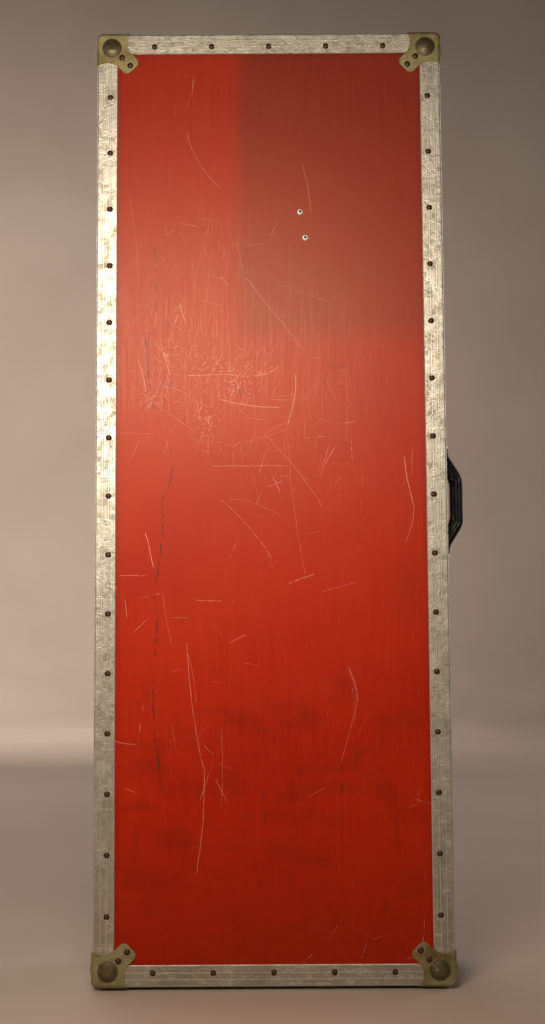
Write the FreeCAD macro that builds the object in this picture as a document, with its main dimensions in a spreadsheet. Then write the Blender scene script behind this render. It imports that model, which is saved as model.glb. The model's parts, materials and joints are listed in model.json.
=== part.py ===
import FreeCAD, Part
import math
import os
import re
import Sketcher
from FreeCAD import Placement, Rotation, Vector

# Hard flight case for a guitar, standing on its bottom end with the lid closed.
# X is the width, with the handle on +X and the hinges on -X. Y is the depth, with the lid towards -Y.
# Z is up, along the case. The origin is on the ground, midway across the width and the depth.

doc = FreeCAD.newDocument("GuitarFlightCase")
sheet = doc.addObject("Spreadsheet::Sheet", "Sizes")

DRIVING_SIZES = {
    # shell: boards with a laminate skin, held by angle extrusions
    "case_width": 420,
    "case_height": 1140,
    "lid_depth": 62,
    "base_depth": 78,
    "board": 9,
    "skin": 1,
    "angle_leg": 25,
    "angle_sheet": 1.5,
    "angle_bevel": 0.9,
    "angle_corner": 2.5,
    "angle_gap": 0.2,
    "angle_end": 5.5,
    "rib_outer": 8.7,
    "rib_width": 1,
    "rib_rise": 0.4,
    # closure extrusions round the opening
    "parting_gap": 0.4,
    "channel_flange": 12,
    "lid_web": 6,
    "base_web": 1.5,
    "tongue_inset": 5.7,
    "tongue_width": 1.6,
    "tongue_rise": 4,
    "groove_inset": 4.4,
    "groove_width": 4.2,
    "groove_sink": 4.6,
    # rivets
    "rivet_pitch": 70,
    "rivets_up": 15,
    "rivets_across": 5,
    "rivet_inset": 16.2,
    "rivet_head": 3.3,
    "rivet_rise": 1.5,
    "rivet_shank": 1.9,
    "rivet_grip": 9,
    "blind_head": 3.5,
    "blind_rise": 1.2,
    "blind_hole": 1.2,
    "blind_low_across": 43,
    "blind_low_up": 884,
    "blind_high_across": 37,
    "blind_high_up": 916,
    # ball corners
    "cap_reach": 40.4,
    "cap_waist": 37,
    "cap_waist_up": 14.5,
    "cap_shoulder": 41.5,
    "cap_sheet": 1.2,
    "cap_lift": 0.45,
    "cap_rim": 5,
    "cap_round": 8.5,
    "cap_inner_round": 6,
    "tab_half": 11.5,
    "tab_end": 63.2,
    "tab_round": 6.5,
    "tab_near_rivet": 30.3,
    "tab_far_rivet": 40.4,
    "cap_rivet_head": 3.7,
    "ball_radius": 22.55,
    "ball_inset": 18,
    # hinges
    "hinge_length": 56,
    "hinge_offset": 440,
    "hinge_axis": 4,
    "hinge_knuckle": 3.8,
    "hinge_middle": 18.4,
    "hinge_play": 0.3,
    "hinge_sheet": 1.5,
    "hinge_leaf": 25,
    "leaf_rivets": 3,
    "leaf_rivet_reach": 16.25,
    "hinge_clear": 4.5,
    "hinge_pin": 2,
    "pin_fit": 0.05,
    # twist latches in recessed dishes
    "latch_offset": 290,
    "dish_sheet": 1.2,
    "dish_sink": 8,
    "dish_half": 32,
    "dish_reach": 42,
    "keeper_reach": 26,
    "dish_flange": 8,
    "dish_gap": 0.3,
    "dish_rivet_reach": 8,
    "spindle_reach": 20,
    "spindle": 3,
    "spindle_rim": 1.5,
    "spindle_end": 1,
    "spindle_play": 0.2,
    "claw_sheet": 1.6,
    "claw_lift": 0.4,
    "claw_radius": 30,
    "claw_hub": 9,
    "arm_start": 295,
    "arm_sweep": 15,
    "finger_start": 258,
    "finger_sweep": 38,
    "finger_width": 2.85,
    "finger_margin": 2,
    "stud_reach": 5,
    "stud": 2,
    "stud_tip": 1,
    "wing_reach": 16,
    "wing_half": 13,
    "wing_sheet": 2,
    "wing_pin_sink": 2.6,
    "wing_knuckle": 1.6,
    "wing_pin": 1,
    "lug_half": 4,
    "lug_side": 2.2,
    "lug_trim": 0.2,
    "lug_gap": 0.5,
    "lug_notch": 3.6,
    # carrying handle
    "handle_inset": 46.5,
    "handle_width": 18,
    "handle_thick": 14.6,
    "handle_rise": 32.9,
    "handle_knee": 29.4,
    "handle_slope": 32,
    "handle_bend": 30,
    "handle_foot": 66,
    "foot_half": 5.8,
    "foot_bend": 16,
    "handle_round": 5.5,
    "pivot_rise": 9.5,
    "pivot_pin": 3,
    "pivot_depth": 8,
    "pivot_end_gap": 0.5,
    "bracket_sheet": 3,
    "bracket_plate": 1.5,
    "bracket_length": 34,
    "bracket_half": 6,
    "bracket_near_rivet": 10,
    "bracket_far_rivet": 24,
    # lining
    "pad": 10,
    "soft_gap": 0.3,
    "well_length": 458,
    "neck_half": 45,
    "neck_floor": 20,
    "block_top": 48,
    "tray_length": 320,
    "tray_sheet": 5,
    "stop_half": 55,
    "stop_height": 38,
    "stop_low": 868,
    "stop_high": 932,
    # how far a cutting tool, or a piece that is fused to another, reaches past the surface it meets
    "past": 1,
}
for row, (alias, number) in enumerate(DRIVING_SIZES.items(), 1):
    sheet.set(f"A{row}", alias)
    sheet.set(f"B{row}", str(number))
    sheet.setAlias(f"B{row}", alias)
doc.recompute()

# Places that many sub-parts share, as formulas over the sheet's names.
HALF_WIDTH = "case_width / 2"
GROUND = "(ball_radius - ball_inset)"
CEILING = f"({GROUND} + case_height)"
MIDDLE = f"({GROUND} + case_height / 2)"
PARTING = "((lid_depth - base_depth) / 2)"
FRONT = "(-(lid_depth + base_depth) / 2)"
BACK = "((lid_depth + base_depth) / 2)"
SHELL = "(angle_sheet + skin)"
WALL = "(angle_sheet + skin + board)"
SIDES = ("hinge_side", "handle_side", "bottom", "top")
HALVES = ("lid", "base")
LATCHES = {"lower": f"({MIDDLE} - latch_offset)", "upper": f"({MIDDLE} + latch_offset)"}
HINGES = [f"({MIDDLE} + {step} * hinge_offset)" for step in (-1, 0, 1)]

# Two places nearer than this are the same place.
NEAR = 0.01
# Radius of the circle on which a sketch's corners stand before their constraints move them.
START_RADIUS = 50.0

# Turns that send a sub-part's own Z along a row axis.
ALONG = {
    "X": Rotation(Vector(0, 1, 0), Vector(0, 0, 1), Vector(1, 0, 0), "XYZ"),
    "Y": Rotation(Vector(0, 0, 1), Vector(1, 0, 0), Vector(0, 1, 0), "XYZ"),
    "Z": Rotation(),
}

nodes = []


def size(alias):
    """Return one driving size from the sheet."""
    return float(sheet.get(alias))


def bind(item, formulas):
    """Bind an object's properties to formulas whose words are the sheet's names."""
    for name, text in formulas.items():
        item.setExpression(name, re.sub(r"[a-z_]+", lambda word: "Sizes." + word.group(), text))


def block(label, x, y, z):
    """Add a box that lies between two formulas on each axis."""
    box = doc.addObject("Part::Box", label)
    bind(box, {
        "Length": f"({x[1]}) - ({x[0]})",
        "Width": f"({y[1]}) - ({y[0]})",
        "Height": f"({z[1]}) - ({z[0]})",
        "Placement.Base.x": x[0],
        "Placement.Base.y": y[0],
        "Placement.Base.z": z[0],
    })
    return box


def rod(label, radius, length, start, axis="Z", turn=0.0, sweep="360"):
    """Add a cylinder, or a sector of one, that starts at a point and runs along a row axis."""
    cylinder = doc.addObject("Part::Cylinder", label)
    cylinder.Placement = Placement(Vector(), ALONG[axis] * Rotation(Vector(0, 0, 1), turn))
    bind(cylinder, {
        "Radius": radius,
        "Height": length,
        "Angle": sweep,
        "Placement.Base.x": start[0],
        "Placement.Base.y": start[1],
        "Placement.Base.z": start[2],
    })
    return cylinder


def join(label, pieces):
    """Fuse pieces into one solid."""
    fused = doc.addObject("Part::MultiFuse", label)
    fused.Shapes = pieces
    fused.Refine = True
    return fused


def gather(label, pieces):
    """Hold separate solids in one object."""
    compound = doc.addObject("Part::Compound", label)
    compound.Links = pieces
    return compound


def carve(label, whole, tools):
    """Cut tools out of a solid."""
    cut = doc.addObject("Part::Cut", label)
    cut.Base = whole
    cut.Tool = tools[0] if len(tools) == 1 else gather(f"{label}_tools", tools)
    return cut


def subpart(item, name):
    """Give an object its sub-part's name and list it for export."""
    item.Label = name
    nodes.append(item)
    return item


def feature(name, shape):
    """Add a sub-part whose shape is worked out here from the sheet's sizes."""
    item = doc.addObject("Part::Feature", name)
    item.Shape = shape
    return subpart(item, name)


def depth(half, near, far):
    """Return the Y range between two depths behind the face of the lid or the base."""
    if half == "lid":
        return f"{FRONT} + {near}", f"{FRONT} + {far}"
    return f"{BACK} - ({far})", f"{BACK} - ({near})"


def beside(side, near, far, y, along):
    """Return the ranges of a block between two depths behind one outer side of the case."""
    if side == "hinge_side":
        return (f"-{HALF_WIDTH} + {near}", f"-{HALF_WIDTH} + {far}"), y, along
    if side == "handle_side":
        return (f"{HALF_WIDTH} - ({far})", f"{HALF_WIDTH} - ({near})"), y, along
    if side == "bottom":
        return along, y, (f"{GROUND} + {near}", f"{GROUND} + {far}")
    return along, y, (f"{CEILING} - ({far})", f"{CEILING} - ({near})")


def run(side, long_inset, short_inset):
    """Return how far a piece on one side reaches along it, inset from the case's outer planes."""
    if side in ("hinge_side", "handle_side"):
        return f"{GROUND} + {long_inset}", f"{CEILING} - ({long_inset})"
    return f"-{HALF_WIDTH} + {short_inset}", f"{HALF_WIDTH} - ({short_inset})"


def latch_notches(half, label, sink):
    """Return the two notches that a half's handle side has for its latch dishes."""
    reach = "keeper_reach" if half == "lid" else "dish_reach"
    deep = f"({reach} + dish_sheet + dish_gap)"
    over = "(tongue_rise + 2 * past)"
    y = (f"{PARTING} - {deep}", f"{PARTING} + {over}")
    if half == "base":
        y = (f"{PARTING} - {over}", f"{PARTING} + {deep}")
    half_width = "(dish_half + dish_sheet + dish_gap)"
    return [
        block(f"{label}_{name}_notch", (f"{HALF_WIDTH} - ({sink})", f"{HALF_WIDTH} + past"), y,
              (f"{place} - {half_width}", f"{place} + {half_width}"))
        for name, place in LATCHES.items()
    ]


# ---- boards and skins ----

def add_shell(half):
    """Add the face board, the four walls and the skins of the lid or the base."""
    face = "panel" if half == "lid" else "back"
    edge = f"{half}_depth - parting_gap / 2 - {half}_web"
    across = run("top", SHELL, SHELL)
    up = run("hinge_side", SHELL, SHELL)
    subpart(block(f"{half}_face_board", across, depth(half, SHELL, WALL), up), f"{half}_{face}_board")
    across = run("top", "angle_sheet", "angle_sheet")
    up = run("hinge_side", "angle_sheet", "angle_sheet")
    subpart(block(f"{half}_face_skin", across, depth(half, "angle_sheet", SHELL), up), f"{half}_{face}_skin")
    skins = []
    for side in SIDES:
        wall = block(f"{half}_{side}_board", *beside(side, SHELL, WALL, depth(half, WALL, edge),
                                                     run(side, SHELL, WALL)))
        cover = block(f"{half}_{side}_cover", *beside(side, "angle_sheet", SHELL, depth(half, SHELL, edge),
                                                      run(side, "angle_sheet", SHELL)))
        if side == "handle_side":
            sink = f"{WALL} + past"
            wall = carve(f"{half}_notched_board", wall, latch_notches(half, f"{half}_board", sink))
            cover = carve(f"{half}_notched_cover", cover, latch_notches(half, f"{half}_cover", sink))
        subpart(wall, f"{half}_{side}_wall")
        skins.append(cover)
    subpart(gather(f"{half}_covers", skins), f"{half}_wall_skins")


# ---- angle extrusions along the outer edges ----

def leg_corners():
    """Return the corners of one leg of the angle, as formulas along and across the leg."""
    corners = []
    for rib in ("rib_outer", "rivet_inset"):
        near = f"{rib} - rib_width / 2"
        far = f"{rib} + rib_width / 2"
        corners += [(near, "0"), (near, "-rib_rise"), (far, "-rib_rise"), (far, "0")]
    corners += [("angle_leg - angle_bevel", "0"), ("angle_leg", "angle_bevel"), ("angle_leg", "angle_sheet")]
    return corners


def add_outline(sketch, corners):
    """Draw a closed outline whose corners are held at formulas from the sketch's origin."""
    count = len(corners)
    turns = [math.tau * i / count for i in range(count)]
    start = [Vector(START_RADIUS * math.cos(turn), START_RADIUS * math.sin(turn), 0) for turn in turns]
    for i in range(count):
        sketch.addGeometry(Part.LineSegment(start[i], start[(i + 1) % count]))
    for i in range(count):
        sketch.addConstraint(Sketcher.Constraint("Coincident", i, 2, (i + 1) % count, 1))
    for i, (along, across) in enumerate(corners):
        for kind, axis, text in (("DistanceX", -2, along), ("DistanceY", -1, across)):
            if text == "0":
                sketch.addConstraint(Sketcher.Constraint("PointOnObject", i, 1, axis))
                continue
            index = sketch.addConstraint(Sketcher.Constraint(kind, -1, 1, i, 1, START_RADIUS))
            bind(sketch, {f"Constraints[{index}]": text})


def angle_extrusion(label, length, corner, axis, turn):
    """Add one length of ribbed angle, its outer corner on a point and its legs turned about an axis."""
    body = doc.addObject("PartDesign::Body", label)
    sketch = body.newObject("Sketcher::SketchObject", f"{label}_profile")
    plane = next(item for item in body.Origin.OriginFeatures if item.Role == "XY_Plane")
    sketch.AttachmentSupport = [(plane, "")]
    sketch.MapMode = "FlatFace"
    leg = leg_corners()
    other_leg = [(across, along) for along, across in reversed(leg)]
    add_outline(sketch, leg + [("angle_sheet", "angle_sheet")] + other_leg + [("0", "0")])
    pad = body.newObject("PartDesign::Pad", f"{label}_pad")
    pad.Profile = sketch
    bind(pad, {"Length": length})
    doc.recompute()
    rounded = body.newObject("PartDesign::Fillet", f"{label}_corner")
    names = [f"Edge{i}" for i, edge in enumerate(pad.Shape.Edges, 1)
             if all(math.hypot(v.X, v.Y) < NEAR for v in edge.Vertexes)]
    rounded.Base = (pad, names)
    bind(rounded, {"Radius": "angle_corner"})
    body.Placement = Placement(Vector(), ALONG[axis] * Rotation(Vector(0, 0, 1), turn))
    bind(body, {
        "Placement.Base.x": corner[0],
        "Placement.Base.y": corner[1],
        "Placement.Base.z": corner[2],
    })
    return body


def add_edge_angles(half):
    """Add the four angles round a half's face and the four short ones at its corners."""
    face = FRONT if half == "lid" else BACK
    inset = "(angle_leg + angle_gap)"
    left = f"-{HALF_WIDTH}"
    turns = {
        "lid": {"hinge_side": 0, "handle_side": 90, "bottom": 0, "top": 270},
        "base": {"hinge_side": 270, "handle_side": 180, "bottom": 90, "top": 180},
    }[half]
    for side in SIDES:
        upright = side in ("hinge_side", "handle_side")
        corner = (HALF_WIDTH if side == "handle_side" else left, face, f"{GROUND} + angle_end")
        if not upright:
            corner = (f"{left} + {inset}", face, CEILING if side == "top" else GROUND)
        length = "case_height - 2 * angle_end" if upright else f"case_width - 2 * {inset}"
        angle = angle_extrusion(f"{half}_{side}_angle", length, corner, "Z" if upright else "X", turns[side])
        subpart(angle, f"{half}_{side}_edge_angle")
    stop = "(parting_gap / 2 + channel_flange + angle_gap)"
    under_cap = "(cap_reach - 2 * angle_gap)"
    start = f"{FRONT} + {under_cap}" if half == "lid" else f"{PARTING} + {stop}"
    places = [(left, GROUND), (left, CEILING), (HALF_WIDTH, CEILING), (HALF_WIDTH, GROUND)]
    length = f"{half}_depth - {under_cap} - {stop}"
    corners = [
        angle_extrusion(f"{half}_corner_angle_{i}", length, (x, start, z), "Y", 90 * i)
        for i, (x, z) in enumerate(places)
    ]
    subpart(gather(f"{half}_corners", corners), f"{half}_corner_angles")


# ---- closure extrusions ----

def closure_bar(half, side):
    """Add one length of channel over a wall's edge, with a tongue on the base and a groove in the lid."""
    end = f"({half}_depth - parting_gap / 2)"
    whole = run(side, "0", f"{WALL} + angle_sheet")
    label = f"{half}_{side}"
    inner = f"{WALL} + angle_sheet"
    parts = [
        block(f"{label}_web", *beside(side, "0", inner, depth(half, f"{end} - {half}_web", end), whole)),
        block(f"{label}_flange", *beside(side, "0", "angle_sheet",
                                         depth(half, f"{end} - channel_flange", end), whole)),
        block(f"{label}_leg", *beside(side, WALL, inner, depth(half, f"{end} - channel_flange", end),
                                      run(side, WALL, inner))),
    ]
    if half == "base":
        reach = run(side, "tongue_inset", inner)
        y = depth(half, f"{end} - base_web", f"{end} + tongue_rise")
        spans = beside(side, "tongue_inset", "tongue_inset + tongue_width", y, reach)
        parts.append(block(f"{label}_tongue", *spans))
    bar = join(f"{label}_bar", parts)
    tools = []
    if half == "lid":
        reach = run(side, "groove_inset", f"{inner} - past")
        y = depth(half, f"{end} - groove_sink", f"{end} + past")
        spans = beside(side, "groove_inset", "groove_inset + groove_width", y, reach)
        tools.append(block(f"{label}_groove", *spans))
    if side == "handle_side":
        tools += latch_notches(half, f"{label}_bar", "dish_sink + dish_sheet + dish_gap / 3")
    return carve(f"{label}_channel", bar, tools) if tools else bar


def add_closure(half):
    """Add the ring of four closure bars."""
    name = "lid_groove_frame" if half == "lid" else "base_tongue_frame"
    subpart(gather(f"{half}_closure", [closure_bar(half, side) for side in SIDES]), name)


# ---- rivets ----

def rivet(head, rise, shank, grip, hole=0.0):
    """Return a domed rivet that stands on the XY plane, with its shank below it."""
    ball = (head ** 2 + rise ** 2) / (2 * rise)
    dome = Part.makeCylinder(head, rise).common(Part.makeSphere(ball, Vector(0, 0, rise - ball)))
    solid = dome.fuse(Part.makeCylinder(shank, grip, Vector(0, 0, -grip)))
    if hole:
        solid = solid.cut(Part.makeCylinder(hole, 2 * rise))
    return solid.removeSplitter()


def placed(shape, point, outward):
    """Return a copy of a shape at a point, with its own Z turned outward."""
    copy = shape.copy()
    copy.Placement = Placement(Vector(*point), Rotation(Vector(0, 0, 1), Vector(*outward)))
    return copy


def row_of(count, pitch):
    """Return evenly spaced places about zero."""
    return [(i - (count - 1) / 2) * pitch for i in range(count)]


half_width = size("case_width") / 2
ground = size("ball_radius") - size("ball_inset")
ceiling = ground + size("case_height")
middle_height = (ground + ceiling) / 2
face_plane = {"lid": -(size("lid_depth") + size("base_depth")) / 2,
              "base": (size("lid_depth") + size("base_depth")) / 2}
parting = (size("lid_depth") - size("base_depth")) / 2
inward = {"lid": 1, "base": -1}


def add_edge_rivets(half):
    """Add the rivets along both legs of the four angles round a half's face."""
    one = rivet(size("rivet_head"), size("rivet_rise"), size("rivet_shank"), size("rivet_grip"))
    inset = size("rivet_inset")
    face = face_plane[half]
    side_row = face + inward[half] * inset
    heights = [middle_height + z for z in row_of(int(size("rivets_up")), size("rivet_pitch"))]
    across = row_of(int(size("rivets_across")), size("rivet_pitch"))
    solids = []
    for sign in (-1, 1):
        for z in heights:
            solids.append(placed(one, (sign * (half_width - inset), face, z), (0, -inward[half], 0)))
            solids.append(placed(one, (sign * half_width, side_row, z), (sign, 0, 0)))
    for x in across:
        for z, end, up in ((ground, ground + inset, -1), (ceiling, ceiling - inset, 1)):
            solids.append(placed(one, (x, face, end), (0, -inward[half], 0)))
            solids.append(placed(one, (x, side_row, z), (0, 0, up)))
    feature(f"{half}_edge_rivets", Part.makeCompound(solids))


# ---- ball corners ----

def cap_outline():
    """Return the outline of one flange of a ball corner, from the case's own corner at the origin."""
    diagonal = math.sqrt(2)
    outside = -size("ball_radius")
    reach = size("cap_reach")
    tab_half = size("tab_half")
    tab_end = size("tab_end")
    tab_round = size("tab_round")

    def on_tab(along, across):
        return Vector((along + across) / diagonal, (along - across) / diagonal, 0)

    waist = Vector(size("cap_waist"), size("cap_waist_up"), 0)
    shoulder = Vector(size("cap_shoulder"), size("cap_shoulder") - diagonal * tab_half, 0)
    straight = tab_end - tab_round
    flat = tab_half - tab_round
    bend = on_tab(straight + tab_round / diagonal, flat + tab_round / diagonal)
    side = [
        Part.LineSegment(Vector(outside, outside, 0), Vector(reach, outside, 0)),
        Part.LineSegment(Vector(reach, outside, 0), Vector(reach, 0, 0)),
        Part.Arc(Vector(reach, 0, 0), waist, shoulder),
        Part.LineSegment(shoulder, on_tab(straight, tab_half)),
        Part.Arc(on_tab(straight, tab_half), bend, on_tab(tab_end, flat)),
        Part.LineSegment(on_tab(tab_end, flat), on_tab(tab_end, 0)),
    ]
    edges = [item.toShape() for item in side]
    swap = FreeCAD.Matrix(0, 1, 0, 0, 1, 0, 0, 0, 0, 0, 1, 0, 0, 0, 0, 1)
    mirrored = [edge.transformGeometry(swap) for edge in edges]
    return Part.Face(Part.Wire(Part.__sortEdges__(edges + mirrored)))


def corner_block(offset, rim, depth_round):
    """Return a large block whose rounded corner lies a set distance outside the case's own corner."""
    span = 3 * size("cap_reach")
    box = Part.makeBox(span, span, span, Vector(-offset, -offset, -offset))
    along_depth = [edge for edge in box.Edges
                   if all(math.hypot(v.X + offset, v.Z + offset) < NEAR for v in edge.Vertexes)]
    block_shape = box.makeFillet(depth_round, along_depth)
    far = span - offset - size("past")
    face_rim = [edge for edge in block_shape.Edges
                if all(abs(v.Y + offset) < NEAR for v in edge.Vertexes)
                and all(min(v.X, v.Z) < depth_round for v in edge.Vertexes)
                and max(edge.CenterOfMass.x, edge.CenterOfMass.z) < far]
    return block_shape.makeFillet(rim, face_rim)


def ball_corner():
    """Return a pressed steel ball corner for the case corner at the origin, over the +X +Y +Z octant."""
    sheet_thick = size("cap_sheet")
    lift = size("cap_lift")
    ball_centre = Vector(1, 1, 1) * size("ball_inset")
    outer = corner_block(lift + sheet_thick, size("cap_rim"), size("cap_round")).fuse(
        Part.makeSphere(size("ball_radius"), ball_centre))
    inner = corner_block(lift, size("angle_corner"), size("cap_inner_round")).fuse(
        Part.makeSphere(size("ball_radius") - sheet_thick, ball_centre))
    reach_out = size("ball_radius")
    flange = cap_outline().extrude(Vector(0, 0, reach_out))
    flange.translate(Vector(0, 0, -reach_out))
    turn = Rotation(Vector(1, 1, 1), 120)
    flanges = [flange.copy() for _ in range(3)]
    flanges[1].Placement = Placement(Vector(), turn) * flanges[1].Placement
    flanges[2].Placement = Placement(Vector(), turn * turn) * flanges[2].Placement
    mask = flanges[0].fuse(flanges[1:])
    return outer.cut(inner).common(mask).removeSplitter()


def octant_turn(signs):
    """Return the turn that sends the +X +Y +Z octant to the one with these signs."""
    x = Vector(signs[0], 0, 0)
    y = Vector(0, signs[1], 0)
    z = Vector(0, 0, signs[2])
    if signs[0] * signs[1] * signs[2] < 0:
        x, z = z, x
    return Rotation(x, y, z, "XYZ")


def add_ball_corners(half, cap):
    """Add the four ball corners of a half, and the two rivets through each of their three flanges."""
    one = rivet(size("cap_rivet_head"), size("rivet_rise"), size("rivet_shank"), size("rivet_grip"))
    lift = size("cap_lift") + size("cap_sheet")
    rivets = []
    for side, x_sign in (("hinge", 1), ("handle", -1)):
        for end, z_sign, z in (("bottom", 1, ground), ("top", -1, ceiling)):
            place = Placement(Vector(-x_sign * half_width, face_plane[half], z),
                              octant_turn((x_sign, inward[half], z_sign)))
            corner = cap.copy()
            corner.Placement = place
            feature(f"{half}_ball_corner_{end}_{side}", corner)
            for a in (size("tab_near_rivet"), size("tab_far_rivet")):
                for point, out in (((a, a, -lift), (0, 0, -1)), ((a, -lift, a), (0, -1, 0)),
                                   ((-lift, a, a), (-1, 0, 0))):
                    local = placed(one, point, out)
                    local.Placement = place * local.Placement
                    rivets.append(local)
    feature(f"{half}_corner_rivets", Part.makeCompound(rivets))


# ---- hinges ----

def hinge_leaf(half, label, place):
    """Add one leaf of a hinge: the base has the outer knuckles and the lid the middle one."""
    way = 1 if half == "base" else -1
    axis = (f"-{HALF_WIDTH} - hinge_axis", PARTING)
    plane = (f"-{HALF_WIDTH} - hinge_sheet", f"-{HALF_WIDTH}")

    def leaf_y(near, far):
        return (f"{PARTING} + {near}", f"{PARTING} + {far}") if way > 0 else (
            f"{PARTING} - {far}", f"{PARTING} - {near}")

    ends = (f"{place} - hinge_length / 2", f"{place} + hinge_length / 2")
    inner = "(hinge_middle / 2 + hinge_play)"
    if half == "lid":
        spans = [(f"{place} - hinge_middle / 2", f"{place} + hinge_middle / 2")]
    else:
        spans = [(ends[0], f"{place} - {inner}"), (f"{place} + {inner}", ends[1])]
    pieces = [block(f"{label}_plate", plane, leaf_y("hinge_clear", "hinge_leaf"), ends)]
    for i, (low, high) in enumerate(spans):
        pieces.append(block(f"{label}_root_{i}", plane, leaf_y("0", "(hinge_clear + past)"), (low, high)))
        pieces.append(rod(f"{label}_knuckle_{i}", "hinge_knuckle", f"({high}) - ({low})", (*axis, low)))
        web = (axis[0], f"-{HALF_WIDTH} - hinge_sheet / 2")
        pieces.append(block(f"{label}_web_{i}", web, leaf_y("0", "hinge_knuckle / 2"), (low, high)))
    bore = "hinge_pin" if half == "base" else "hinge_pin + pin_fit"
    hole = rod(f"{label}_bore", bore, "hinge_length + 2 * past", (*axis, f"{ends[0]} - past"))
    return carve(f"{label}_leaf", join(f"{label}_blank", pieces), [hole])


def add_hinges():
    """Add the three hinges, as the leaves of each half and the pins."""
    for half in HALVES:
        leaves = [hinge_leaf(half, f"{half}_hinge_{i}", place) for i, place in enumerate(HINGES)]
        subpart(gather(f"{half}_leaves", leaves), f"{half}_hinge_leaves")
    pins = [
        rod(f"hinge_pin_{i}", "hinge_pin", "hinge_length",
            (f"-{HALF_WIDTH} - hinge_axis", PARTING, f"{place} - hinge_length / 2"))
        for i, place in enumerate(HINGES)
    ]
    subpart(gather("hinge_pin_set", pins), "hinge_pins")


# ---- latches ----

def dish(half, label, place):
    """Add one recessed dish: the base's holds the latch, and the lid's holds the stud it pulls on."""
    way = 1 if half == "base" else -1
    reach = "dish_reach" if half == "base" else "keeper_reach"
    floor = f"{HALF_WIDTH} - dish_sink"

    def dish_y(near, far):
        return (f"{PARTING} + {near}", f"{PARTING} + {far}") if way > 0 else (
            f"{PARTING} - ({far})", f"{PARTING} - ({near})")

    def dish_z(half_size):
        return f"{place} - ({half_size})", f"{place} + ({half_size})"

    blank = join(f"{label}_blank", [
        block(f"{label}_tub", (f"{floor} - dish_sheet", f"{HALF_WIDTH} + dish_sheet"),
              dish_y("dish_gap", f"{reach} + dish_sheet"), dish_z("dish_half + dish_sheet")),
        block(f"{label}_flange", (HALF_WIDTH, f"{HALF_WIDTH} + dish_sheet"),
              dish_y("dish_gap", f"{reach} + dish_flange"), dish_z("dish_half + dish_flange")),
    ])
    mouth = (floor, f"{HALF_WIDTH} + dish_sheet + past")
    hollow = block(f"{label}_hollow", mouth, dish_y("-past", reach), dish_z("dish_half"))
    if half == "base":
        bore = rod(f"{label}_bore", "spindle + pin_fit", "dish_sheet + 2 * past",
                   (f"{floor} - dish_sheet - past", f"{PARTING} + spindle_reach", place), "X")
        return carve(f"{label}_dish", blank, [hollow, bore])
    stud = rod(f"{label}_stud", "stud", "claw_lift + claw_sheet + stud_tip + dish_sheet / 2",
               (f"{floor} - dish_sheet / 2", f"{PARTING} - stud_reach", place), "X")
    return join(f"{label}_keeper", [carve(f"{label}_dish", blank, [hollow]), stud])


def add_claw(name, place):
    """Add a latch's spindle with its hooked claw, turned a quarter turn away from the lid's stud."""
    floor = f"{HALF_WIDTH} - dish_sink"
    centre = (f"{PARTING} + spindle_reach", place)
    plate = (f"{floor} + claw_lift", *centre)
    inside = "claw_radius - finger_width"
    disc = rod(f"{name}_finger_disc", "claw_radius", "claw_sheet", plate, "X",
               size("finger_start"), "finger_sweep")
    core = rod(f"{name}_finger_inside", inside, "claw_sheet", plate, "X",
               size("finger_start") - size("finger_margin"), "finger_sweep + 2 * finger_margin")
    sleeve_top = f"{HALF_WIDTH} - wing_pin_sink - wing_knuckle - wing_knuckle / 3"
    lug_x = (f"({sleeve_top}) - past", f"{HALF_WIDTH} - wing_pin_sink + wing_knuckle - lug_trim")
    lug_y = (f"{centre[0]} - lug_side", f"{centre[0]} + lug_side")
    lug_block = block(f"{name}_lug_block", lug_x, lug_y, (f"{place} - lug_half", f"{place} + lug_half"))
    lug_bore = rod(f"{name}_lug_bore", "wing_pin + pin_fit", "2 * lug_half + 2 * past",
                   (f"{HALF_WIDTH} - wing_pin_sink", centre[0], f"{place} - lug_half - past"))
    shaft_end = f"{floor} - dish_sheet - spindle_end"
    pieces = [
        rod(f"{name}_shaft", "spindle", f"({sleeve_top}) - ({shaft_end})", (shaft_end, *centre), "X"),
        rod(f"{name}_rivet_end", "spindle + spindle_rim", "spindle_end",
            (f"{shaft_end} - spindle_play", *centre), "X"),
        rod(f"{name}_hub", "claw_hub", "claw_sheet", plate, "X"),
        rod(f"{name}_sleeve", "2 * spindle", f"({sleeve_top}) - ({plate[0]})", plate, "X"),
        rod(f"{name}_arm", "claw_radius", "claw_sheet", plate, "X", size("arm_start"), "arm_sweep"),
        carve(f"{name}_finger", disc, [core]),
        carve(f"{name}_lug", lug_block, [lug_bore]),
    ]
    subpart(join(f"{name}_claw_body", pieces), f"{name}_latch_claw")


def add_wing(name, place):
    """Add a latch's folding wing, lying flat in its dish."""
    pin_x = f"{HALF_WIDTH} - wing_pin_sink"
    centre = f"{PARTING} + spindle_reach"
    ends = (f"{place} - wing_half", f"{place} + wing_half")
    clear = "(lug_half + lug_gap)"
    plate = block(f"{name}_blade_plate", (f"{pin_x} - wing_sheet / 2", f"{pin_x} + wing_sheet / 2"),
                  (centre, f"{centre} + wing_reach"), ends)
    notch = block(f"{name}_blade_notch", (f"{pin_x} - wing_sheet", f"{pin_x} + wing_sheet"),
                  (f"{centre} - past", f"{centre} + lug_notch"),
                  (f"{place} - {clear}", f"{place} + {clear}"))
    pieces = [carve(f"{name}_blade", plate, [notch])]
    for tag, low in (("low", ends[0]), ("high", f"{place} + {clear}")):
        knuckle = rod(f"{name}_knuckle_{tag}", "wing_knuckle", f"wing_half - {clear}", (pin_x, centre, low))
        pieces.append(knuckle)
    pieces.append(rod(f"{name}_wing_pin", "wing_pin", "2 * wing_half", (pin_x, centre, ends[0])))
    subpart(join(f"{name}_wing_body", pieces), f"{name}_latch_wing")


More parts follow.
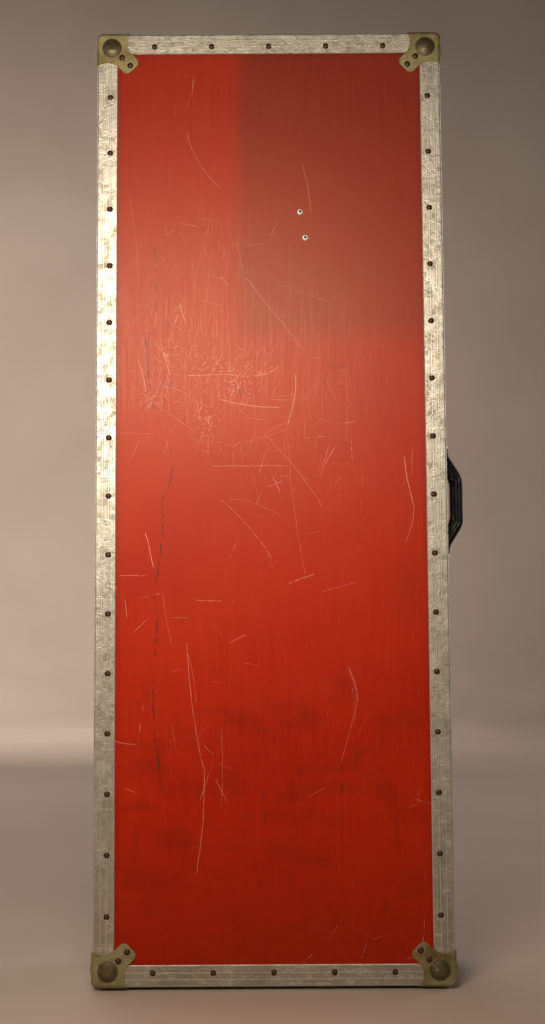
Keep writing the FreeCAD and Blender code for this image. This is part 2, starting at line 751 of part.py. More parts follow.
def add_latches():
    """Add the two twist latches and their dishes."""
    for half, name in (("base", "latch_dishes"), ("lid", "latch_keepers")):
        dishes = [dish(half, f"{half}_{key}", place) for key, place in LATCHES.items()]
        subpart(gather(f"{name}_set", dishes), name)
    for key, place in LATCHES.items():
        add_claw(key, place)
        add_wing(key, place)


# ---- carrying handle ----

def add_handle():
    """Add the moulded bow handle and the two brackets whose pins it turns on."""
    skin_plane = half_width - size("angle_sheet")
    rise = size("handle_rise")
    thick = size("handle_thick")
    knee = size("handle_knee")
    foot = size("handle_foot")
    slope = math.radians(size("handle_slope"))
    foot_top = size("pivot_rise") + size("foot_half")
    foot_low = size("pivot_rise") - size("foot_half")
    inner_knee = knee - thick * math.tan(slope / 2)
    outer_foot = knee + (rise - foot_top) / math.tan(slope)
    inner_foot = inner_knee + (rise - thick - foot_low) / math.tan(slope)
    outer = [(knee, rise), (outer_foot, foot_top), (foot, foot_top)]
    inner = [(foot, foot_low), (inner_foot, foot_low), (inner_knee, rise - thick)]
    right = outer + inner
    outline = right + [(-along, up) for along, up in reversed(right)]
    y = size("base_depth") + parting - size("handle_inset")
    low_y = y - size("handle_width") / 2
    points = [Vector(skin_plane + up, low_y, middle_height + along) for along, up in outline]
    blank = Part.Face(Part.makePolygon(points + points[:1])).extrude(Vector(0, size("handle_width"), 0))
    for radius, places in ((size("handle_bend"), (knee, inner_knee)),
                           (size("foot_bend"), (outer_foot, inner_foot))):
        bends = [edge for edge in blank.Edges
                 if abs(edge.tangentAt(edge.FirstParameter).y) > 1 - NEAR
                 and min(abs(abs(edge.Vertexes[0].Z - middle_height) - place) for place in places) < NEAR]
        blank = blank.makeFillet(radius, bends)
    rims = [edge for edge in blank.Edges
            if all(abs(abs(v.Y - y) - size("handle_width") / 2) < NEAR for v in edge.Vertexes)
            and abs(edge.tangentAt(edge.FirstParameter).y) < NEAR]
    grip = blank.makeFillet(size("handle_round"), rims)
    bore = size("pivot_pin") + size("pin_fit")
    bore_depth = size("pivot_depth") + size("pivot_end_gap")
    for way in (-1, 1):
        bottom = Vector(skin_plane + size("pivot_rise"), y, middle_height + way * (foot - bore_depth))
        grip = grip.cut(Part.makeCylinder(bore, bore_depth + size("past"), bottom, Vector(0, 0, way)))
    feature("carry_handle", grip.removeSplitter())

    centre_y = f"({BACK} - handle_inset)"
    plane = f"({HALF_WIDTH} - angle_sheet)"
    brackets = []
    for way, label in (("-", "lower"), ("+", "upper")):
        def z_range(near, far):
            ends = [f"{MIDDLE} {way} ({near})", f"{MIDDLE} {way} ({far})"]
            return tuple(ends) if way == "+" else tuple(reversed(ends))

        gap = "(handle_foot + soft_gap)"
        pin_low = z_range(f"{gap} - pivot_depth", f"{gap} + bracket_sheet")[0]
        brackets.append(join(f"{label}_bracket", [
            block(f"{label}_bracket_plate", (plane, f"{plane} + bracket_plate"),
                  (f"{centre_y} - bracket_half", f"{centre_y} + bracket_half"),
                  z_range(gap, f"{gap} + bracket_length")),
            block(f"{label}_bracket_ear", (plane, f"{plane} + pivot_rise"),
                  (f"{centre_y} - bracket_half", f"{centre_y} + bracket_half"),
                  z_range(gap, f"{gap} + bracket_sheet")),
            rod(f"{label}_bracket_boss", "bracket_half", "bracket_sheet",
                (f"{plane} + pivot_rise", centre_y, z_range(gap, f"{gap} + bracket_sheet")[0])),
            rod(f"{label}_bracket_pin", "pivot_pin", "pivot_depth + bracket_sheet",
                (f"{plane} + pivot_rise", centre_y, pin_low)),
        ]))
    subpart(gather("bracket_set", brackets), "handle_brackets")


# ---- rivets of the fittings ----

def add_fitting_rivets():
    """Add the rivets that hold the hinge leaves, the latch dishes and the handle brackets."""
    one = rivet(size("rivet_head"), size("rivet_rise"), size("rivet_shank"), size("rivet_grip"))
    middle_y = face_plane["base"] - size("handle_inset")
    bracket_z = size("handle_foot") + size("bracket_sheet")
    count = int(size("leaf_rivets"))
    for half, way, reach in (("lid", -1, size("keeper_reach")), ("base", 1, size("dish_reach"))):
        solids = []
        for step in (-1, 0, 1):
            for along in row_of(count, size("hinge_length") / count):
                z = middle_height + step * size("hinge_offset") + along
                y = parting + way * size("leaf_rivet_reach")
                solids.append(placed(one, (-half_width - size("hinge_sheet"), y, z), (-1, 0, 0)))
        plate_x = half_width + size("dish_sheet")
        edge = size("dish_half") + size("dish_flange") / 2 + size("dish_sheet") / 2
        far = reach + size("dish_flange") / 2 + size("dish_sheet") / 2
        for step in (-1, 1):
            z = middle_height + step * size("latch_offset")
            for side in (-1, 1):
                for along in (size("dish_rivet_reach"), far):
                    solids.append(placed(one, (plate_x, parting + way * along, z + side * edge), (1, 0, 0)))
            solids.append(placed(one, (plate_x, parting + way * far, z), (1, 0, 0)))
        if half == "base":
            plate_x = half_width - size("angle_sheet") + size("bracket_plate")
            for end in (-1, 1):
                for along in (size("bracket_near_rivet"), size("bracket_far_rivet")):
                    z = middle_height + end * (bracket_z + along)
                    solids.append(placed(one, (plate_x, middle_y, z), (1, 0, 0)))
        feature(f"{half}_fitting_rivets", Part.makeCompound(solids))


# ---- lining ----

def add_lining():
    """Add the pads, the neck supports and the accessory tray."""
    wall_face = f"({WALL} + soft_gap)"
    pad_face = f"({WALL} + soft_gap + pad)"
    clear = f"({WALL} + pad + 3 * soft_gap)"
    for half in HALVES:
        top = f"{half}_depth - parting_gap / 2 - channel_flange - soft_gap"
        y = depth(half, wall_face, top)
        pads = [
            block(f"{half}_{side}_pad", *beside(side, wall_face, pad_face, y,
                                                run(side, wall_face, f"{pad_face} + soft_gap")))
            for side in SIDES
        ]
        subpart(gather(f"{half}_pads", pads), f"{half}_wall_pads")

    across = run("top", "0", clear)
    full = run("hinge_side", clear, "0")
    floor_y = depth("base", wall_face, pad_face)
    well_top = f"({GROUND} + {clear} + well_length)"
    subpart(block("well_pad", across, floor_y, (full[0], well_top)), "base_floor_pad")

    stop_z = (f"{GROUND} + stop_low", f"{GROUND} + stop_high")
    window = "(stop_half + 2 * soft_gap)"
    lid_pad = carve("lid_pad_cut", block("lid_pad_slab", across, depth("lid", wall_face, pad_face), full), [
        block("lid_pad_window", (f"-{window}", window), depth("lid", WALL, f"{pad_face} + past"),
              (f"{stop_z[0]} - 2 * soft_gap", f"{stop_z[1]} + 2 * soft_gap"))])
    subpart(lid_pad, "lid_panel_pad")
    stop_y = depth("lid", WALL, f"{WALL} + stop_height")
    subpart(block("lid_stop", ("-stop_half", "stop_half"), stop_y, stop_z), "lid_neck_block")

    neck_low = f"{well_top} + soft_gap"
    neck_z = (neck_low, full[1])
    block_y = depth("base", wall_face, f"{WALL} + block_top")
    subpart(block("neck_bed", ("-neck_half + soft_gap", "neck_half - soft_gap"),
                  depth("base", wall_face, f"{WALL} + neck_floor"), neck_z), "neck_rest")
    tray_high = f"{neck_low} + tray_length"
    blocks = [
        block("hinge_block", (across[0], "-neck_half"), block_y, neck_z),
        block("handle_block", ("neck_half", across[1]), block_y, (f"{tray_high} + soft_gap", full[1])),
    ]
    subpart(gather("block_pair", blocks), "neck_side_blocks")
    tray = block("tray_blank", ("neck_half", across[1]), block_y, (neck_low, tray_high))
    hollow = block("tray_hollow", ("neck_half + tray_sheet", f"({across[1]}) - tray_sheet"),
                   depth("base", f"{wall_face} + tray_sheet", f"{WALL} + block_top + past"),
                   (f"{neck_low} + tray_sheet", f"{tray_high} - tray_sheet"))
    subpart(carve("tray_body", tray, [hollow]), "accessory_tray")

    pin = rivet(size("blind_head"), size("blind_rise"), size("rivet_shank"),
                size("angle_sheet") + 2 * size("board"), hole=size("blind_hole"))
    skin_y = face_plane["lid"] + size("angle_sheet")
    heads = [placed(pin, (size(f"blind_{end}_across"), skin_y, ground + size(f"blind_{end}_up")), (0, -1, 0))
             for end in ("low", "high")]
    feature("neck_block_rivets", Part.makeCompound(heads))


def check_and_export():
    """Recompute, refuse a failed object or shape, and write one file for each sub-part."""
    doc.recompute()
    failed = [item.Label for item in doc.Objects if {"Invalid", "Error"} & set(item.State)]
    failed += [item.Label for item in nodes if item.Shape.isNull() or not item.Shape.isValid()]
    if failed:
        raise RuntimeError(f"these objects failed: {failed}")
    os.makedirs("parts", exist_ok=True)
    for item in nodes:
        item.Shape.exportStep(f"parts/{item.Label}.step")
    print(len(nodes), "sub-parts")


cap_shape = ball_corner()
for half_name in HALVES:
    add_shell(half_name)
    add_edge_angles(half_name)
    add_closure(half_name)
    add_edge_rivets(half_name)
    add_ball_corners(half_name, cap_shape)
add_hinges()
add_latches()
add_handle()
add_fitting_rivets()
add_lining()
check_and_export()
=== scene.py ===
import json
import math

import bmesh
import bpy
from mathutils import Matrix, Vector


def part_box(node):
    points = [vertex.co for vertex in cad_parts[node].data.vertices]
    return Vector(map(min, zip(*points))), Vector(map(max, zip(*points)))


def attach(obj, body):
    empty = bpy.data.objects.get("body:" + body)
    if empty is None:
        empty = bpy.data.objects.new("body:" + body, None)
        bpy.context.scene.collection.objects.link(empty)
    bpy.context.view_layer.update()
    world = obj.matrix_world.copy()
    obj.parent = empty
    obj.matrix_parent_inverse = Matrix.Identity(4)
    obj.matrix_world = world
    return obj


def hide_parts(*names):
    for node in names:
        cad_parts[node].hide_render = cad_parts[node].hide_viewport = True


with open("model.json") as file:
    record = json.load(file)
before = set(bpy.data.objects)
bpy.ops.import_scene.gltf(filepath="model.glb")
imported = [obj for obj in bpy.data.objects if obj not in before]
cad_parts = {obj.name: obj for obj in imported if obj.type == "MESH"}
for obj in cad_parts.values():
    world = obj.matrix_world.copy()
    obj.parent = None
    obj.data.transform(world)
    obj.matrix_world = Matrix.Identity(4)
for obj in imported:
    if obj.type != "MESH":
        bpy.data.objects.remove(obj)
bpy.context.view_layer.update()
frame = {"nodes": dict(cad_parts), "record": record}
scene = bpy.context.scene
MM = 0.001
CM = 0.01

# The case's own sizes, in metres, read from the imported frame.
RIB_RISE = 0.4 * MM
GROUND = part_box("lid_bottom_edge_angle")[0].z + RIB_RISE
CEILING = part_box("lid_top_edge_angle")[1].z - RIB_RISE
MIDDLE = (GROUND + CEILING) / 2
HALF_LENGTH = (CEILING - GROUND) / 2
HALF_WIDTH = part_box("lid_handle_side_edge_angle")[1].x - RIB_RISE
HALF_DEPTH = -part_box("lid_handle_side_edge_angle")[0].y - RIB_RISE
RIB_PLACES = (8.7 * MM, 16.2 * MM)
ANGLE_LEG = 25 * MM
RIVET_PITCH = 70 * MM
RIVET_PHASE = 25 * MM
RIVET_INSET = 16.2 * MM
BALL_INSET = 18 * MM
BALL_RADIUS = 22.55 * MM


# ---------------------------------------------------------------- node graphs


def rgb(red, green, blue):
    """A colour in linear light."""
    return (red, green, blue, 1.0)


class Graph:
    """One material's nodes. Methods take sockets or plain values and return an output socket."""

    def __init__(self, name):
        self.material = bpy.data.materials.new(name)
        self.material.use_nodes = True
        self.nodes = self.material.node_tree.nodes
        self.links = self.material.node_tree.links
        self.nodes.clear()
        self.place = self.add("TexCoord", {}, "Object")

    def add(self, kind, inputs, output=0, **settings):
        node = self.nodes.new("ShaderNode" + kind)
        for name, value in settings.items():
            setattr(node, name, value)
        for name, value in inputs.items():
            if isinstance(value, bpy.types.NodeSocket):
                self.links.new(value, node.inputs[name])
            else:
                node.inputs[name].default_value = value
        return node.outputs[output]

    def math(self, operation, a, b=0.0, c=0.0):
        return self.add("Math", {0: a, 1: b, 2: c}, operation=operation)

    def vector(self, operation, a, b=(0.0, 0.0, 0.0), output="Vector"):
        return self.add("VectorMath", {0: a, 1: b}, output, operation=operation)

    def fade(self, value, start, end, low=0.0, high=1.0):
        """Goes smoothly from low at start to high at end, and stays there."""
        return self.add(
            "MapRange",
            {"Value": value, "From Min": start, "From Max": end, "To Min": low, "To Max": high},
            interpolation_type="SMOOTHSTEP",
        )

    def noise(self, scale, detail=3.0, where=None, roughness=0.55, output=0):
        where = self.place if where is None else where
        settings = {"Vector": where, "Scale": scale, "Detail": detail, "Roughness": roughness}
        return self.add("TexNoise", settings, output)

    def stretched(self, scale, turn=(0.0, 0.0, 0.0), shift=(0.0, 0.0, 0.0)):
        """The object's coordinates, scaled along each axis."""
        settings = {"Vector": self.place, "Location": shift, "Rotation": turn, "Scale": scale}
        return self.add("Mapping", settings)

    def hairlines(self, where, scale, width, detail=1.0):
        """Thin wandering lines, where a noise crosses its middle value."""
        value = self.noise(scale, detail, where)
        off = self.math("ABSOLUTE", self.math("SUBTRACT", value, 0.5))
        return self.fade(off, width, 0.0)

    def nicks(self, density, lean, spread, width, chance, shift=0.0, tall=1.0):
        """Short thin scratches, one in some of the cells of a grid of random points.

        There are density cells to a metre, each drawn out upward tall times. Each scratch leans
        from upright by an angle of its own, bends a little and fades at its ends.
        """
        x, y, z = self.apart(self.place)
        across = self.math("MULTIPLY_ADD", self.math("ADD", x, y), density, shift)
        up = self.math("MULTIPLY_ADD", self.math("ADD", z, y), density / tall, 1.7 * shift)
        flat = self.add("CombineXYZ", {0: across, 1: up})
        cells = self.add("TexVoronoi", {"Vector": flat, "Scale": 1.0}, "Color", voronoi_dimensions="2D").node
        pick = self.apart(cells.outputs["Color"])
        offset = self.vector("SUBTRACT", flat, cells.outputs["Position"])
        angle = self.math("MULTIPLY_ADD", pick[0], 2.0 * spread, lean - spread)
        turned = self.add("VectorRotate", {"Vector": offset, "Angle": angle}, rotation_type="Z_AXIS")
        side, along, _ = self.apart(turned)
        curl = self.math("MULTIPLY_ADD", pick[1], 0.7, -0.35)
        bend = self.math("MULTIPLY_ADD", self.times(along, along), curl, side)
        thin = self.fade(self.math("ABSOLUTE", bend), width * density, 0.4 * width * density)
        length = self.fade(self.math("ABSOLUTE", along), 0.45, 0.2)
        return self.times(thin, length, self.fade(pick[2], 1.0 - chance, 1.02 - chance))

    def mix(self, factor, a, b, kind="MIX"):
        return self.add("Mix", {0: factor, 6: a, 7: b}, 2, data_type="RGBA", blend_type=kind)

    def most(self, *values):
        """The highest of several masks."""
        result = values[0]
        for value in values[1:]:
            result = self.math("MAXIMUM", result, value)
        return result

    def times(self, *values):
        result = values[0]
        for value in values[1:]:
            result = self.math("MULTIPLY", result, value)
        return result

    def apart(self, vector):
        node = self.nodes.new("ShaderNodeSeparateXYZ")
        self.links.new(vector, node.inputs[0])
        return node.outputs

    def margins(self):
        """How far inside the case's outer planes a point is, as the vector and its three parts."""
        centred = self.vector("SUBTRACT", self.place, (0.0, 0.0, MIDDLE))
        inside = self.vector(
            "SUBTRACT", (HALF_WIDTH, HALF_DEPTH, HALF_LENGTH), self.vector("ABSOLUTE", centred)
        )
        return inside, self.apart(inside)

    def finish(self, colour, roughness, height=None, depth=0.1 * MM, **fixed):
        """The surface shader; fixed holds the values that are the same all over."""
        shader = self.nodes.new("ShaderNodeBsdfPrincipled")
        for name, value in (("Base Color", colour), ("Roughness", roughness)):
            if isinstance(value, bpy.types.NodeSocket):
                self.links.new(value, shader.inputs[name])
            else:
                shader.inputs[name].default_value = value
        for name, value in fixed.items():
            shader.inputs[name.replace("_", " ").title().replace("Ior", "IOR")].default_value = value
        if height is not None:
            bump = self.add("Bump", {"Height": height, "Distance": depth, "Strength": 1.0})
            self.links.new(bump, shader.inputs["Normal"])
        output = self.nodes.new("ShaderNodeOutputMaterial")
        self.links.new(shader.outputs[0], output.inputs[0])
        return self.material


# ---------------------------------------------------------------- laminate

# Marks on the lid's face, given to the centimetre. Each group has a half-width in millimetres,
# a strength, and strokes that run from one (x, z) to another with a bow at their middle, in centimetres.
PALE_MARKS = (
    (0.25, 0.35, (
        (-7, 92, -9, 84, 0), (-17, 94, -16, 84, 0.2), (-4, 88, -3, 80, 0.3), (-3, 88, -1, 88, 0),
        (1, 83, 7, 81, 0), (-10, 39, -9, 33, 0.2), (-6, 30, -6, 21, 0.1), (-5, 57, 1, 55, 0.5),
        (-18, 65, -14, 65, 0), (-12, 43, -10, 43, 0), (-7, 42, -6, 41, 0), (-13, 46, -12, 40, 0),
        (2, 66, 4, 48, -0.4), (-3, 64, 3, 66, -0.3), (9, 73, 9, 64, 0.2), (6, 46, 10, 47, 0),
        (4, 22, 6, 23, 0), (10, 33, 8, 26, 0), (-9, 109, -10, 105, 0),
    )),
    (0.3, 0.55, (
        (-10, 102, -6, 95, -0.7), (4, 98, 5, 92, 0.2), (1, 91, 0, 89, 0.1), (-10, 40, -8, 25, -0.4),
        (-8, 25, -9, 13, 0.3), (-8, 28, -7, 27, 0), (-6, 57, 0, 50, 0.5), (-7, 61, 2, 61, 0),
        (-18, 48, -15, 48, 0), (-9, 45, -6, 45, 0), (-5, 40, -3, 41, 0), (-1, 65, 6, 56, 0.6),
        (-17, 71, -9, 65, 0), (0, 69, 2, 69, 0), (5, 74, 6, 74, 0), (17, 56, 16, 52, 0.2),
    )),
    (0.4, 0.85, (
        (-6, 84, -5, 83, 0), (-14, 76, -12, 73, 0.3), (-13, 75, -12, 72, 0), (-11, 81, -10, 78, 0),
        (-15, 53, -14, 49, 0), (3, 72, 2, 66, 0.3), (16, 62, 17, 56, -0.2), (-6, 69, 1, 68, -0.2),
        (-10, 72, -4, 72, 0), (-2, 72, 1, 73, -0.3), (-16, 74, -15, 70, 0.2),
    )),
    (1.0, 0.25, ((-3, 84, 4, 75, 0), (9, 37, 10, 33, 0.2), (2, 47, 5, 48, 0))),
)
DARK_MARKS = (
    (0.5, 0.4, (
        (-19, 80, -4, 75, 0.3), (-9, 78, -5, 80, -0.4), (-19, 77, -15, 77, 0), (-19, 76, -17, 76, 0),
    )),
    (0.8, 0.95, (
        (-14, 88, -14, 77, 0.2), (-15, 77, -14, 68, -0.2), (-12, 63, -13, 57, 0.7), (-13, 57, -14, 46, 0.4),
        (-14, 46, -14, 38, 0.4), (-14, 38, -13, 23, -0.4),
    )),
    (1.3, 0.5, ((2, 37, 3, 35, 0), (8, 26, 8, 18, 0.1), (10, 27, 10, 25, 0), (-1, 23, -1, 18, 0))),
)
# Patches, in centimetres: centre (x, z), half sizes and strength. Soft grey-brown patches: smudges, tall
# streaks that darken the lower part, and, last, a wide patch of painted shade over the bottom:
SMUDGES_AND_SHADE = (
    (-6, 32, 1.5, 0.6, 0.6), (3, 25, 1, 1, 0.7), (6, 25, 1.5, 0.5, 0.5), (7, 23, 7, 1, 0.4),
    (4, 31, 2, 2, 0.4), (16, 31, 3, 2, 0.4), (13, 23, 2, 1.5, 0.5), (14, 18, 0.6, 4, 0.5),
    (-15, 34, 0.6, 1.5, 0.5), (18, 34, 0.3, 0.6, 0.8), (-16, 21, 3, 0.6, 0.5), (2, 20, 7, 1, 0.3),
    (-10, 23, 6, 1, 0.3), (-1, 12, 0.5, 1, 0.6), (-2, 10, 1, 0.6, 0.4), (8, 73, 1, 0.4, 0.5),
    (-12, 71, 1, 0.4, 0.5), (-4, 70, 0.6, 0.6, 0.6), (17, 46, 3, 5, 0.3), (13, 9, 0.6, 6, 0.4),
    (2, 13, 1, 6, 0.3), (-16, 16, 0.5, 5, 0.35), (16, 11, 3, 6, 0.35), (6, 10, 7, 3, 0.3),
    (-15, 28, 6, 1, 0.35), (6, 2, 26, 12, 0.45),
)
# ... patches rubbed pale by many small scratches:
SCUFFS = (
    (-11, 79, 1, 2, 1), (-12, 75, 2, 2, 1), (-7, 73, 3, 2, 1), (-4, 71, 3, 3, 1), (-8, 67, 2, 4, 0.85),
    (-14, 69, 3, 2, 0.6), (-3, 73, 4, 1.5, 0.8), (-2, 75, 3, 2, 0.5), (-10, 72, 6, 6, 0.45),
)
# ... and wide patches that are worn all over:
WORN = ((-10, 75, 10, 12, 1), (-4, 70, 11, 10, 0.75), (3, 69, 12, 15, 0.45), (-9, 86, 10, 9, 0.5))


def trace(graph, stroke, half_width):
    """A hard-edged thin mark, bowed like an arc, which wavers a little."""
    x, _, z = graph.apart(graph.wavering)
    start_x, start_z, end_x, end_z, bow = (value * CM for value in stroke)
    if abs(end_x - start_x) > abs(end_z - start_z):
        along, across, start, end, low, high = x, z, start_x, end_x, start_z, end_z
    else:
        along, across, start, end, low, high = z, x, start_z, end_z, start_x, end_x
    done = graph.math("MULTIPLY_ADD", along, 1 / (end - start), -start / (end - start))
    left = graph.math("SUBTRACT", 1.0, done)
    straight = graph.math("MULTIPLY_ADD", done, high - low, low)
    line = graph.math("MULTIPLY_ADD", graph.math("MULTIPLY", done, left), 4 * bow, straight)
    near = graph.math("COMPARE", across, line, half_width * MM)
    return graph.math("MULTIPLY", near, graph.math("COMPARE", done, 0.5, 0.5))


def traced(graph, groups):
    """All the marks of one kind, each at its own strength."""
    covered = 0.0
    for half_width, strength, strokes in groups:
        for stroke in strokes:
            line = graph.math("MULTIPLY", trace(graph, stroke, half_width), strength)
            covered = graph.math("MAXIMUM", covered, line)
    return covered


def patches(graph, places, where):
    """Soft round patches with ragged outlines."""
    covered = 0.0
    for x, z, half_x, half_z, strength in places:
        offset = graph.vector("SUBTRACT", where, (x * CM, 0.0, z * CM))
        scaled = graph.vector("MULTIPLY", offset, (1 / (half_x * CM), 0.0, 1 / (half_z * CM)))
        patch = graph.fade(graph.vector("LENGTH", scaled, output="Value"), 1.25, 0.2, 0.0, strength)
        covered = graph.math("MAXIMUM", covered, patch)
    return covered


def painted_dark_reflection(graph):
    """Painted reflection: the lid's upper right is darkened as if its gloss mirrored something dark, more
    strongly upward.
    """
    x, _, z = graph.apart(graph.wavering)
    return graph.times(
        graph.fade(x, -50 * MM, -24 * MM),
        graph.fade(z, 750 * MM, 785 * MM),
        graph.fade(z, 850 * MM, 1100 * MM, 0.25, 0.42),
    )


def laminate(name, marked):
    """Red laminate with a brushed grain, short scratches and grimy edges and patches. marked adds the lid's
    own marks, with painted shade over the bottom and a painted dark reflection at the upper right.
    """
    g = Graph(name)
    swing = g.vector("SUBTRACT", g.noise(34.0, 2.0, output=1), (0.5, 0.5, 0.5))
    ragged = g.vector("ADD", g.place, g.vector("MULTIPLY", swing, (0.03, 0.0, 0.02)))
    g.wavering = g.vector("ADD", g.place, g.vector("MULTIPLY", swing, (0.0035, 0.0, 0.0035)))
    inside, (m_x, m_y, m_z) = g.margins()

    cloud = g.noise(5.0, 3.0)
    grain = g.noise(1.0, 2.0, g.stretched((1500.0, 1500.0, 700.0)))
    brushed = g.noise(1.0, 3.0, g.stretched((800.0, 800.0, 12.0)))
    broken = g.fade(g.noise(110.0, 2.0), 0.38, 0.58)

    rare = g.fade(g.noise(9.0, 2.0), 0.46, 0.66)
    scratches = g.times(
        g.most(
            g.nicks(15.0, 0.0, 0.5, 0.35 * MM, 0.5),
            g.nicks(26.0, 1.2, 0.9, 0.3 * MM, 0.4, 3.1),
        ),
        broken,
        rare,
    )

    red = g.mix(g.fade(cloud, 0.3, 0.7), rgb(0.42, 0.0105, 0.0005), rgb(0.48, 0.016, 0.001))
    red = g.mix(g.fade(brushed, 0.35, 0.75, 0.0, 0.12), red, rgb(0.62, 0.06, 0.012))
    edge = g.math("MINIMUM", g.most(m_x, m_y), g.most(m_z, m_y))
    grime_and_shade = g.fade(edge, ANGLE_LEG + 9 * MM, ANGLE_LEG - 0.5 * MM, 0.0, 0.35)

    if marked:
        worn = patches(g, WORN, ragged)
        scuffed = patches(g, SCUFFS, ragged)
        rubbed = g.most(
            g.nicks(90.0, 0.5, 1.0, 0.42 * MM, 0.95, 1.2, 1.3),
            g.nicks(150.0, -0.4, 1.5, 0.38 * MM, 0.9, 5.3),
            g.nicks(60.0, 0.0, 0.9, 0.42 * MM, 0.9, 7.7, 1.3),
        )
        dense = g.most(
            g.nicks(60.0, 0.05, 0.4, 0.35 * MM, 0.9, 3.3, 2.2),
            g.nicks(110.0, -0.05, 0.5, 0.32 * MM, 0.9, 6.1, 2.6),
        )
        loose = g.most(
            g.nicks(22.0, 1.0, 1.4, 0.4 * MM, 0.7, 4.9),
            g.nicks(40.0, -0.4, 1.2, 0.35 * MM, 0.6, 8.4),
        )
        pale = traced(g, PALE_MARKS)
        pale = g.times(pale, g.fade(g.noise(160.0, 2.0), 0.32, 0.52, 0.35, 1.0))
        scratches = g.most(
            g.times(scratches, 0.8),
            pale,
            g.times(dense, worn, g.fade(g.noise(34.0, 3.0), 0.4, 0.62), 0.6),
            g.times(loose, worn, 0.6),
            g.times(rubbed, scuffed, g.fade(g.noise(130.0, 2.0), 0.25, 0.5)),
        )
        red = g.mix(g.times(worn, 0.08), red, rgb(0.7, 0.13, 0.07))
        # Smudges, and the last, widest patch, which is painted shade over the bottom.
        dirt_and_shade = patches(g, SMUDGES_AND_SHADE, ragged)
        drift = g.noise(1.0, 6.0, g.stretched((13.0, 13.0, 22.0)), 0.7)
        # Darker towards the bottom, in cloudy patches.
        low = g.times(
            g.fade(drift, 0.46, 0.7, 0.0, 0.3),
            g.fade(g.apart(g.place)[2], 0.47, 0.3),
        )
        dirt_and_shade = g.times(dirt_and_shade, g.fade(g.noise(90.0, 3.0), 0.3, 0.6, 0.2, 0.65))
        grime_and_shade = g.most(grime_and_shade, dirt_and_shade, low)
        dark = traced(g, DARK_MARKS)
        dark = g.times(dark, g.fade(g.noise(1.0, 3.0, g.stretched((160.0, 160.0, 85.0))), 0.42, 0.58))
        # Painted reflection: the upper right turns a dull brown-grey, standing in for a dark reflection in
        # the gloss.
        red = g.mix(painted_dark_reflection(g), red, rgb(0.07, 0.03, 0.02))
    else:
        drift = g.noise(7.0, 4.0)
        grime_and_shade = g.most(grime_and_shade, g.fade(drift, 0.56, 0.74, 0.0, 0.4))
        dark = g.times(
            g.hairlines(g.stretched((11.0, 13.0, 6.0), (0.2, 0.1, 0.4), (4.0, 4.0, 4.0)), 1.0, 0.01),
            g.fade(g.noise(8.0, 2.0), 0.55, 0.62),
            broken,
        )

    # Smudges and grimy patches darken the red, and so does the painted shade over the bottom.
    colour = g.mix(grime_and_shade, red, rgb(0.11, 0.009, 0.003))
    colour = g.mix(g.times(scratches, 0.8), colour, rgb(0.95, 0.47, 0.36))
    colour = g.mix(g.times(dark, 0.85), colour, rgb(0.035, 0.016, 0.012))
    gloss = g.math("ADD", g.fade(brushed, 0.3, 0.7, 0.38, 0.45), g.times(scratches, 0.06))
    height = g.math("SUBTRACT", g.times(grain, 0.25), g.times(scratches, 0.5))
    height = g.math("ADD", height, g.times(brushed, 0.2))
    shine = {"specular_ior_level": 0.46, "specular_tint": rgb(1.0, 0.86, 0.66)}
    return g.finish(colour, gloss, height, 0.06 * MM, **shine)


# ---------------------------------------------------------------- metals


def rivet_distance(graph, inside_parts, edge_distance):
    """Distance from the nearest edge rivet's middle, for points on the edge angles."""
    m_x, _, m_z = inside_parts
    upright = graph.math("GREATER_THAN", m_z, 40 * MM)
    half = RIVET_PITCH / 2
    down_place = graph.math("FLOORED_MODULO", graph.math("ADD", m_z, RIVET_PHASE), RIVET_PITCH)
    down = graph.math("SUBTRACT", down_place, half)
    across_place = graph.math("FLOORED_MODULO", graph.math("ADD", m_x, half), RIVET_PITCH)
    across = graph.math("SUBTRACT", across_place, half)
    swap = graph.add("Mix", {0: upright, 2: across, 3: down}, 0, data_type="FLOAT")
    off = graph.math("SUBTRACT", edge_distance, RIVET_INSET)
    return graph.math("SQRT", graph.math("ADD", graph.times(swap, swap), graph.times(off, off)))


